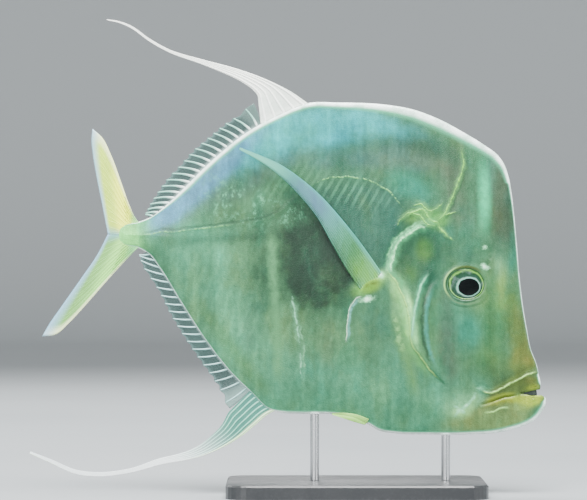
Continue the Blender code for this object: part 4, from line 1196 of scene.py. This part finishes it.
ray_white = fin_finish("ray_white", (0.24, 0.52, 0.42), (0.16, 0.42, 0.34),
                       [("out", 0.55, 0.05, 0.85, (0.80, 0.88, 0.84))])
ray_blue = fin_finish("ray_blue", (0.34, 0.58, 0.56), (0.24, 0.46, 0.45),
                      [("out", 0.40, 0.05, 0.6, (0.10, 0.24, 0.20))])
lobe_white = fin_finish("lobe_white", (0.90, 0.92, 0.86), (0.80, 0.87, 0.80))
lobe_web = fin_finish("lobe_web", (0.74, 0.80, 0.72), (0.56, 0.66, 0.58),
                      [("out", 0.10, 0.35, 1.0, (0.88, 0.90, 0.84))])
anal_web = fin_finish("anal_web", (0.045, 0.20, 0.15), (0.032, 0.15, 0.12),
                      [("out", 0.14, 0.46, 1.0, (0.78, 0.86, 0.86)), LEMON_EDGE])
anal_rays = fin_finish("anal_rays", (0.22, 0.56, 0.42), (0.15, 0.46, 0.34),
                       [LEMON_EDGE, ("out", 0.14, 0.46, 1.0, (0.86, 0.90, 0.90))])
tail_finishes = {
    lobe: [
        fin_finish(f"tail_{lobe}_{part}", colour, darker(colour, 0.84),
                   [("out", 0.04, 0.22, 0.9, heart, 0.78, 0.45)] + TAIL_TONES)
        for part, colour in (("web", web_colour), ("rays", ray_colour))
    ]
    for lobe, web_colour, ray_colour, heart in (
        ("upper", (0.46, 0.66, 0.050), (0.56, 0.76, 0.09), (0.86, 0.95, 0.06)),
        ("lower", (0.145, 0.36, 0.080), (0.21, 0.50, 0.135), (0.28, 0.68, 0.14)),
    )
}
films = {
    fringe: fin_finish(f"smoky_film_{fringe}", (0.020, 0.052, 0.046), (0.036, 0.085, 0.074),
                       FILM_TONES + [("across", reach, 0.02, 0.85, first_tone)],
                       roughness=0.35, alpha=0.70)
    for fringe, reach, first_tone in (
        ("dorsal", 0.08, (0.10, 0.17, 0.15)), ("anal", 0.10, (0.20, 0.33, 0.30)),
    )
}
pelvic_finish = fin_finish("pelvic_green", (0.30, 0.58, 0.120), (0.20, 0.44, 0.080))
pectoral_finishes = [
    fin_finish("pectoral_web", (0.046, 0.270, 0.205), (0.034, 0.205, 0.150), PECTORAL_TONES, alpha=0.66),
    fin_finish("pectoral_rays", (0.052, 0.290, 0.220), (0.040, 0.230, 0.165), PECTORAL_TONES, alpha=0.80),
]
for finish in pectoral_finishes:
    wisps = finish.noise(60, detail=4, vector=finish.stretch((3, 1, 0.7), (0, -40, 0)))
    finish.over((0.080, 0.380, 0.280), finish.ramp(wisps, 0.35, 0.65), 0.26)
print("fin finishes ready")

# %% Dorsal, anal and tail fins

FRINGE_RAYS = 20
RAY_TIP = 0.05  # the last share of a ray's length, where it closes
BLUNT = 0.12


def taper(count, rows, start, end, power=1.0):
    """Half widths that fall from start to end along every rod, and close to a point at its tip."""
    share = np.linspace(0.0, 1.0, rows)
    closing = np.sqrt(np.clip((1.0 - share) / RAY_TIP, BLUNT, 1.0))
    return np.repeat(((start + (end - start) * share**power) * closing)[None], count, axis=0)


def sheet_layers(across, out):
    """The two paint layers of a fin, for the right face and the left face of its membrane."""
    return {"across": np.tile(across.ravel(), 2), "out": np.tile(out.ravel(), 2)}


def rod_layers(across, out):
    """The same two layers for every point round each rod."""
    return {"across": np.repeat(across.ravel(), ROD_SIDES), "out": np.repeat(out.ravel(), ROD_SIDES)}


def make_part(name, shape, finish, layers, slot, nodes):
    """One piece of a fin, from its points and groups of faces."""
    points, groups = shape
    finish_piece(make_mesh(name, points, groups, finish.material, layers), slot, *nodes)


def make_fin(name, sides, rays, finishes, nodes, slot, rows=28, root_half=0.9, web_half=0.16,
             ray_wide=(0.55, 0.3), ray_thick=(0.62, 0.26), ray_power=1.0, parts_from=1.1,
             scallop=0.0, bow=0.0, root_run=3.2):
    """A membrane with rods for its rays.

    Past parts_from each ray parts in two that drift apart. scallop draws the free edge in between
    the rays. bow lifts the middle of each ray by that share of its length. The membrane thickens
    towards the body over root_run.
    """
    out = np.linspace(0.0, 1.0, rows)
    across = np.linspace(0.0, 1.0, rays * 6 + 1)
    grid_u, grid_v = np.meshgrid(across, out, indexing="ij")

    def place(u, v):
        way = patch(sides, u, np.ones_like(v)) - patch(sides, u, np.zeros_like(v))
        lift = bow * np.sin(v * math.pi)[..., None]
        return patch(sides, u, v) + np.stack([way[..., 1], -way[..., 0]], axis=-1) * lift

    drawn_in = scallop * (0.5 + 0.5 * np.cos(across * rays * math.tau))[:, None]
    grid = place(grid_u, grid_v * (1 - drawn_in * grid_v))
    from_root = np.linalg.norm(grid - grid[:, :1], axis=2)
    half = web_half + (root_half - web_half) * rising(from_root, root_run, 0) ** 2
    make_part(name + "_web", closed_sheet(grid, np.zeros_like(half), half), finishes[0],
              sheet_layers(grid_u, grid_v), slot, nodes)

    centres = (np.arange(rays) + 0.5) / rays
    parted = parts_from < 1.0
    drift = rising(out, parts_from, 1.0) if parted else np.zeros_like(out)
    spots = np.concatenate([
        centres[:, None] + side * 0.25 / rays * drift[None] for side in ((-1, 1) if parted else (0,))
    ])
    paths = place(spots, np.repeat(out[None], len(spots), axis=0))
    shape = rods(paths, np.zeros(paths.shape[:2]), taper(len(spots), rows, *ray_wide, ray_power),
                 taper(len(spots), rows, *ray_thick))
    layers = rod_layers(spots, np.broadcast_to(out, spots.shape))
    make_part(name + "_rays", shape, finishes[1], layers, slot, nodes)


dorsal_root = body_edge(DORSAL_START, DORSAL_NOTCH_ROOT)
anal_root = body_edge(ANAL_START, ANAL_NOTCH_ROOT)
make_fin("dorsal_lobe", lobe_sides(dorsal_root, DORSAL_LEAD, DORSAL_TRAIL), 5, (lobe_web, lobe_white),
         ("dorsal_fin_lobe", "dorsal_fin_filament"), "fin_pale", rows=90, web_half=0.42,
         ray_wide=(1.3, 0.10), ray_thick=(0.85, 0.42), ray_power=0.35)
make_fin("anal_lobe", lobe_sides(anal_root, ANAL_LEAD, ANAL_TRAIL), 6, (anal_web, anal_rays),
         ("anal_fin_lobe", "anal_fin_filament"), "fin_pale", rows=100, web_half=0.36,
         ray_wide=(0.85, 0.08), ray_thick=(0.72, 0.40), ray_power=0.4)
for name, first, last, edge, slopes, ray_finish, ray_wide, scallop, bow in (
    ("dorsal", DORSAL_NOTCH_ROOT, DORSAL_END, DORSAL_REAR_EDGE, (36, 30, 26, 22, 14, 6, 0, -6, -10),
     ray_white, (0.85, 0.42), 0.08, 0.05),
    ("anal", ANAL_NOTCH_ROOT, ANAL_END, ANAL_REAR_EDGE, (-30, -16, -6, 0, 3, 4, 10, 22, 32),
     ray_blue, (0.66, 0.36), 0.09, -0.03),
):
    make_fin(name + "_rear", fringe_sides(body_edge(first, last), edge, slopes), FRINGE_RAYS,
             (films[name], ray_finish), (name + "_fin_rear",), "fin_pale",
             ray_wide=ray_wide, scallop=scallop, bow=bow)
for lobe, root, lead, edge in (("upper", TAIL_UPPER_ROOT, TAIL_UPPER_LEAD, TAIL_UPPER_EDGE),
                               ("lower", TAIL_LOWER_ROOT, TAIL_LOWER_LEAD, TAIL_LOWER_EDGE)):
    make_fin("tail_" + lobe, tail_sides(np.array(root), lead, edge), 9, tail_finishes[lobe],
             ("tail_fin_" + lobe,), "fin_yellow", rows=48, web_half=0.26, ray_wide=(0.50, 0.24),
             ray_thick=(0.55, 0.32), parts_from=0.35, root_half=0.8, root_run=16.0)

# %% [markdown]
# ## The paired fins
#
# The pectoral fin is a long sickle that springs from a fleshy ochre base and sweeps up over the
# flank. It lies close to the body at its base and stands off a little towards its tip, so its patch
# is lifted off the flank by the flank's own half width. The pelvic fins of a grown lookdown are tiny
# folds under the belly, and are made the same way.

# %% Pectoral and pelvic fins

PECTORAL_UPPER = [
    (54.5, 129.0), (42.5, 146.0), (30.5, 161.0), (19.0, 173.6), (7.5, 183.4), (-4.0, 191.2),
    (-15.5, 196.4), (-27.2, 201.0),
]
PECTORAL_LOWER = [
    (42.0, 119.0), (33.5, 132.0), (25.0, 147.0), (18.0, 159.6), (9.5, 170.6), (0.5, 180.0),
    (-10.0, 189.0), (-19.0, 194.8), (-27.6, 199.6),
]
PELVIC_UPPER = [(47.4, 43.8), (40.4, 46.4), (33.0, 47.4), (26.4, 47.2)]
PELVIC_LOWER = [(45.0, 40.4), (38.0, 42.4), (31.5, 44.6), (26.0, 46.3)]
PAIRED_HALF = 0.24
ROOT_BULGE = 0.10
ROOT_GAP, SETTLED_GAP, SETTLED_FROM = 0.2, 0.55, 0.12
CUP_DEPTH = 0.6
RAY_REACH = 0.995


def make_paired(name, upper_points, lower_points, rays, lift, rows, finishes, ray_wide, ray_thick):
    """A fin for each flank: the patch lifted off the body by the half width, and its rays on it."""
    lead, trail = curve(upper_points), curve(lower_points)
    width = lead[0] - trail[0]
    share = np.linspace(1.0, 0.0, 21)[:, None]
    bulge = ROOT_BULGE * np.array([width[1], -width[0]]) * np.sin(share * math.pi)
    sides = (trail[0] + width * share + bulge, straight(lead[-1], trail[-1]), lead, trail, EVEN)

    def standing(u, v):
        """Places of the fin, and how far each stands off the middle of the body."""
        spots = patch(sides, u, v)
        cup = CUP_DEPTH * np.sin(u * math.pi) * np.sin(np.clip(1.3 * v, 0, 1) * math.pi)
        settled = ROOT_GAP + SETTLED_GAP * rising(v, 0, SETTLED_FROM)
        return spots, flank(spots) + settled + lift * v**1.2 + cup

    out = np.linspace(0.0, 1.0, rows)
    grid_u, grid_v = np.meshgrid(np.linspace(0.0, 1.0, 25), out, indexing="ij")
    ray_u, ray_v = np.meshgrid((np.arange(rays) + 0.5) / rays, out * RAY_REACH, indexing="ij")
    grid, middle = standing(grid_u, grid_v)
    paths, ray_middle = standing(ray_u, ray_v)
    tapers = taper(rays, rows, *ray_wide), taper(rays, rows, *ray_thick)
    for side, sign in (("right", -1), ("left", 1)):
        nodes = (f"{name}_fin_{side}",)
        sheet = closed_sheet(grid, sign * middle, np.full(grid.shape[:2], PAIRED_HALF))
        make_part(f"{name}_{side}_web", sheet, finishes[0], sheet_layers(grid_u, grid_v),
                  "fin_pale", nodes)
        make_part(f"{name}_{side}_rays", rods(paths, sign * ray_middle, *tapers), finishes[1],
                  rod_layers(ray_u, ray_v), "fin_pale", nodes)


make_paired("pectoral", PECTORAL_UPPER, PECTORAL_LOWER, 12, 7.0, 60, pectoral_finishes,
            (0.42, 0.06), (0.34, 0.25))
make_paired("pelvic", PELVIC_UPPER, PELVIC_LOWER, 5, 0.7, 20, (pelvic_finish, pelvic_finish),
            (0.28, 0.08), (0.32, 0.2))

# %% [markdown]
# ## The eyes
#
# A fish has no lids: its eye is a flat dome in a ring of clear skin. From the middle out there is a
# black pupil, a broken silver ring, a dark grey-green iris and a bright rim. The rings are ellipses
# that don't share one middle, because the eye looks a little forward and down, and so the dark iris
# is wider at the top, where painted shade falls on it. So each row of the grid is an ellipse of its
# own, and the rings of colour follow the rows.

# %% The eyeball

# The middles climb as the rows widen: the dark iris is wider at the top, painted shade there.
# Each row: how far out, middle x and z, half width and half height, in millimetres.
EYE_ROWS = np.array([
    (0.00, 105.1, 120.3, 0.01, 0.01), (0.55, 105.1, 120.3, 5.7, 4.75), (0.62, 105.0, 120.3, 6.3, 5.2),
    (0.72, 104.6, 120.5, 7.5, 6.0), (0.86, 104.0, 121.3, 9.0, 7.5), (1.00, 103.6, 121.9, 10.2, 8.7),
    (1.08, 103.6, 121.9, 10.8, 9.3),
])
EYE_BANDS = [
    (0.00, (0.001, 0.002, 0.002)), (0.565, (0.001, 0.002, 0.002)), (0.60, (0.06, 0.16, 0.12)),
    (0.64, (0.20, 0.40, 0.31)), (0.68, (0.09, 0.21, 0.15)), (0.72, (0.014, 0.042, 0.027)),
    (0.80, (0.012, 0.040, 0.022)), (0.85, (0.008, 0.030, 0.013)), (0.90, (0.030, 0.100, 0.022)),
    (0.945, (0.140, 0.370, 0.060)), (0.985, (0.060, 0.170, 0.026)), (1.03, (0.006, 0.022, 0.006)),
    (1.08, (0.010, 0.042, 0.014)),
]
EYE_SUNK = 0.55  # how far the eye's level lies under the flank at its rim
RING_COUNT, TURN_COUNT = 60, 96

eye_finish = Finish("eye_rings", (0.1, 0.15, 0.1), roughness=0.25, specular=0.15)
ring = eye_finish.paint("ring")
wobble = eye_finish.ramp(eye_finish.noise(260), 0.3, 0.7, -0.03, 0.03, smooth=False)
bands = eye_finish.node("ValToRGB", {"Fac": eye_finish.math("ADD", ring, wobble)})
bands.color_ramp.interpolation = "EASE"
stops = bands.color_ramp.elements
widest = EYE_ROWS[-1, 0]
for number, (place, colour) in enumerate(EYE_BANDS):
    stop = stops[number] if number < 2 else stops.new(place / widest)
    stop.position = place / widest
    stop.color = (*colour, 1.0)
eye_finish.show(bands.outputs["Color"])
iris = eye_finish.ramp(eye_finish.noise(330, detail=4), 0.50, 0.72)
eye_finish.over((0.090, 0.150, 0.130), eye_finish.times(eye_finish.ramp(ring, 0.53, 0.60), iris), 0.5)
eye_finish.bump(eye_finish.noise(800), 0.00004)
eye_finish.coat(0.15, 0.05)


def eye_profile(share):
    """Height over the socket by the share of the eyeball: a flat dome, a crease and a rounded rim."""
    dome = 1.25 * np.sqrt(np.clip(1 - (share / 0.95) ** 2, 0, 1))
    return dome + 0.75 * ridge(share - 0.985, 0.055) - 2.0 * rising(share, 1.02, 1.08) ** 2


share = np.concatenate([[0.0], np.linspace(0.03, widest, RING_COUNT)])
turns = np.linspace(0.0, math.tau, TURN_COUNT, endpoint=False)
far_out, *columns = EYE_ROWS.T
middle_x, middle_z, wide, tall = (np.interp(share, far_out, column)[:, None] for column in columns)
eye_view = np.stack([middle_x + wide * np.cos(turns), middle_z + tall * np.sin(turns)], axis=-1)
eye_view[0] = middle_x[0, 0], middle_z[0, 0]
rim_half = flank(eye_view[-1])
tilt = (rim_half - rim_half.mean()) * (share[:, None] / widest) ** 2
eye_half = rim_half.mean() - EYE_SUNK + tilt + eye_profile(share)[:, None]
ring_layer = {"ring": np.repeat(share / widest, TURN_COUNT)}
for side, sign in (("right", -1), ("left", 1)):
    faces = quads(len(share), TURN_COUNT, wrap=True)[:, ::-sign]
    points, groups, layer = weld(in_space(eye_view, sign * eye_half), [faces], ring_layer)
    eye = make_mesh("eyeball_" + side, points, groups, eye_finish.material, layer)
    finish_piece(eye, "eye", "eye_" + side)

# %% [markdown]
# ## The inside of the mouth
#
# The mouth is a little open, and its inside lies in shade. A thin dark sheet between the jaws, set back
# from the lips, is that painted shade: it closes the gap that would otherwise show the wall behind the
# fish.

# %% Mouth lining

LINING_REACH = 0.80  # how much of the lips' length the lining follows
LINING_OVERLAP, LINING_HALF = 0.8, 0.45

# The lining's near-black colour is painted shade inside the open mouth.
mouth_shade = Finish("mouth_shade", (0.012, 0.020, 0.016), roughness=0.5, specular=0.3)
wet = mouth_shade.noise(400)
mouth_shade.over((0.030, 0.042, 0.030), mouth_shade.ramp(wet, 0.45, 0.7, 0.0, 0.7))
mouth_shade.bump(wet, 0.0001)
along_lips = np.linspace(0.0, LINING_REACH, 16)
top, low = (
    at(np.array(edge)[::-1], along_lips) + (0.0, overlap)
    for edge, overlap in ((UPPER_LIP_EDGE, LINING_OVERLAP), (LOWER_LIP_EDGE, -LINING_OVERLAP))
)
lining = np.stack([low + (top - low) * step for step in np.linspace(0, 1, 5)], axis=1)
points, groups = closed_sheet(lining, np.zeros(lining.shape[:2]), np.full(lining.shape[:2], LINING_HALF))
finish_piece(make_mesh("mouth_lining", points, groups, mouth_shade.material), "jaw_skin", "lower_jaw")

# %% [markdown]
# ## The stand
#
# The stand is the solids themselves: a flat base with round corners and two thin rods. They are
# right as they are, so only their finish changes: satin black lacquer and brushed steel.

# %% Stand finishes

lacquer = Finish("black_lacquer", (0.018, 0.019, 0.021), roughness=0.34)
dust = lacquer.noise(700, detail=4)
lacquer.over((0.036, 0.037, 0.040), lacquer.ramp(dust, 0.45, 0.75), 0.5)
lacquer.rough(lacquer.ramp(lacquer.noise(45, detail=5), 0.3, 0.7, 0.28, 0.42))
lacquer.bump(dust, 0.00003)
lacquer.coat(0.3, 0.2)

steel = Finish("brushed_steel", (0.58, 0.59, 0.60), roughness=0.3, metallic=1.0)
brush = steel.noise(260, vector=steel.stretch((6, 6, 0.15)))
steel.over((0.42, 0.43, 0.44), steel.ramp(brush, 0.35, 0.7), 0.6)
steel.rough(steel.ramp(brush, 0.3, 0.7, 0.22, 0.38))
steel.bump(brush, 0.00004)

for node, finish in (("stand_base", lacquer), ("stand_rod_front", steel), ("stand_rod_rear", steel)):
    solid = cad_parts[node]
    solid.data.materials.clear()
    solid.data.materials.append(finish.material)

# %% [markdown]
# ## Floor, light and camera
#
# A pale round sweep, a floor that curves up into a wall on every side, keeps the eye on the fish. It is
# painted paler towards the wall, painted light that makes up for the lamps' light falling off there.
# The main light is a wide panel overhead and in front, which lights the bright line along the back; that
# line is also a highlight painted along the rim.
# The camera stands far off with a long lens, because the fish is seen flat from its side.

# %% The sweep

FLOOR_REACH, SWEEP_BEND, SWEEP_TOP = 3200.0, 800.0, 1700.0
BEND_STEPS, SPOKES = 24, 96
METRE = 1000.0

turn = np.linspace(0.0, math.pi / 2, BEND_STEPS)
bend = np.stack([FLOOR_REACH + SWEEP_BEND * np.sin(turn), SWEEP_BEND * (1 - np.cos(turn))], axis=1)
profile = np.concatenate([[(0.1, 0.0)], bend, [(FLOOR_REACH + SWEEP_BEND, SWEEP_TOP)]])
around = np.linspace(0.0, math.tau, SPOKES, endpoint=False)[:, None]
out, up = profile[:, 0], np.broadcast_to(profile[:, 1], (SPOKES, len(profile)))
sweep_points = np.stack([out * np.cos(around), out * np.sin(around), up], axis=-1).reshape(-1, 3)
spokes = quads(SPOKES + 1, len(profile)) % len(sweep_points)
reach = np.linalg.norm(sweep_points[:, :2], axis=1) / METRE
paper = Finish("pale_paper", (0.27, 0.29, 0.30), roughness=0.9, specular=0.2)
paper.over((0.255, 0.276, 0.287), paper.ramp(paper.noise(3), 0.4, 0.7))
# Paler paint further out, as painted light where the lamps' light falls off towards the wall.
paper.over((0.56, 0.59, 0.60), paper.ramp(paper.paint("reach"), 1.0, 3.9, smooth=False))
sweep = make_mesh("sweep", sweep_points, [spokes[:, ::-1]], paper.material, {"reach": reach})

# %% Lights and camera

AIM = (0.01, 0.0, 0.14)
PANELS = [  # name, place and size in metres, and watts
    ("top_panel", (0.10, -0.55, 1.35), 0.8, 80.0), ("front_panel", (-0.8, -1.7, 0.75), 1.0, 46.0),
    ("side_panel", (1.5, -0.8, 0.55), 0.8, 16.0), ("back_panel", (-0.3, 1.1, 1.2), 1.0, 50.0),
]
VIEW_WIDTH = 0.3405  # what the photograph's frame takes in at the fish, in metres
VIEW_MIDDLE = (0.00377, 0.1417)
CAMERA_AWAY = 2.0
SENSOR = 36.0

for name, place, size, power in PANELS:
    light = bpy.data.lights.new(name, "AREA")
    light.size = size
    light.energy = power
    lamp = bpy.data.objects.new(name, light)
    lamp.location = place
    away = np.array(place) - np.array(AIM)
    pitch = math.atan2(math.hypot(away[0], away[1]), away[2])
    lamp.rotation_euler = (pitch, 0.0, math.atan2(away[0], -away[1]))
    bpy.context.scene.collection.objects.link(lamp)

world = bpy.data.worlds.new("studio")
world.use_nodes = True
sky = world.node_tree.nodes["Background"].inputs
sky["Color"].default_value = (0.86, 0.90, 0.92, 1.0)
sky["Strength"].default_value = 0.5
bpy.context.scene.world = world

camera_data = bpy.data.cameras.new("camera")
camera_data.sensor_width = SENSOR
camera_data.lens = SENSOR * CAMERA_AWAY / VIEW_WIDTH
camera = bpy.data.objects.new("camera", camera_data)
camera.location = (VIEW_MIDDLE[0], -CAMERA_AWAY, VIEW_MIDDLE[1])
camera.rotation_euler = (math.pi / 2, 0.0, 0.0)
bpy.context.scene.collection.objects.link(camera)
bpy.context.scene.camera = camera
print("panels:", len(PANELS), "camera:", round(CAMERA_AWAY, 2), "m away")
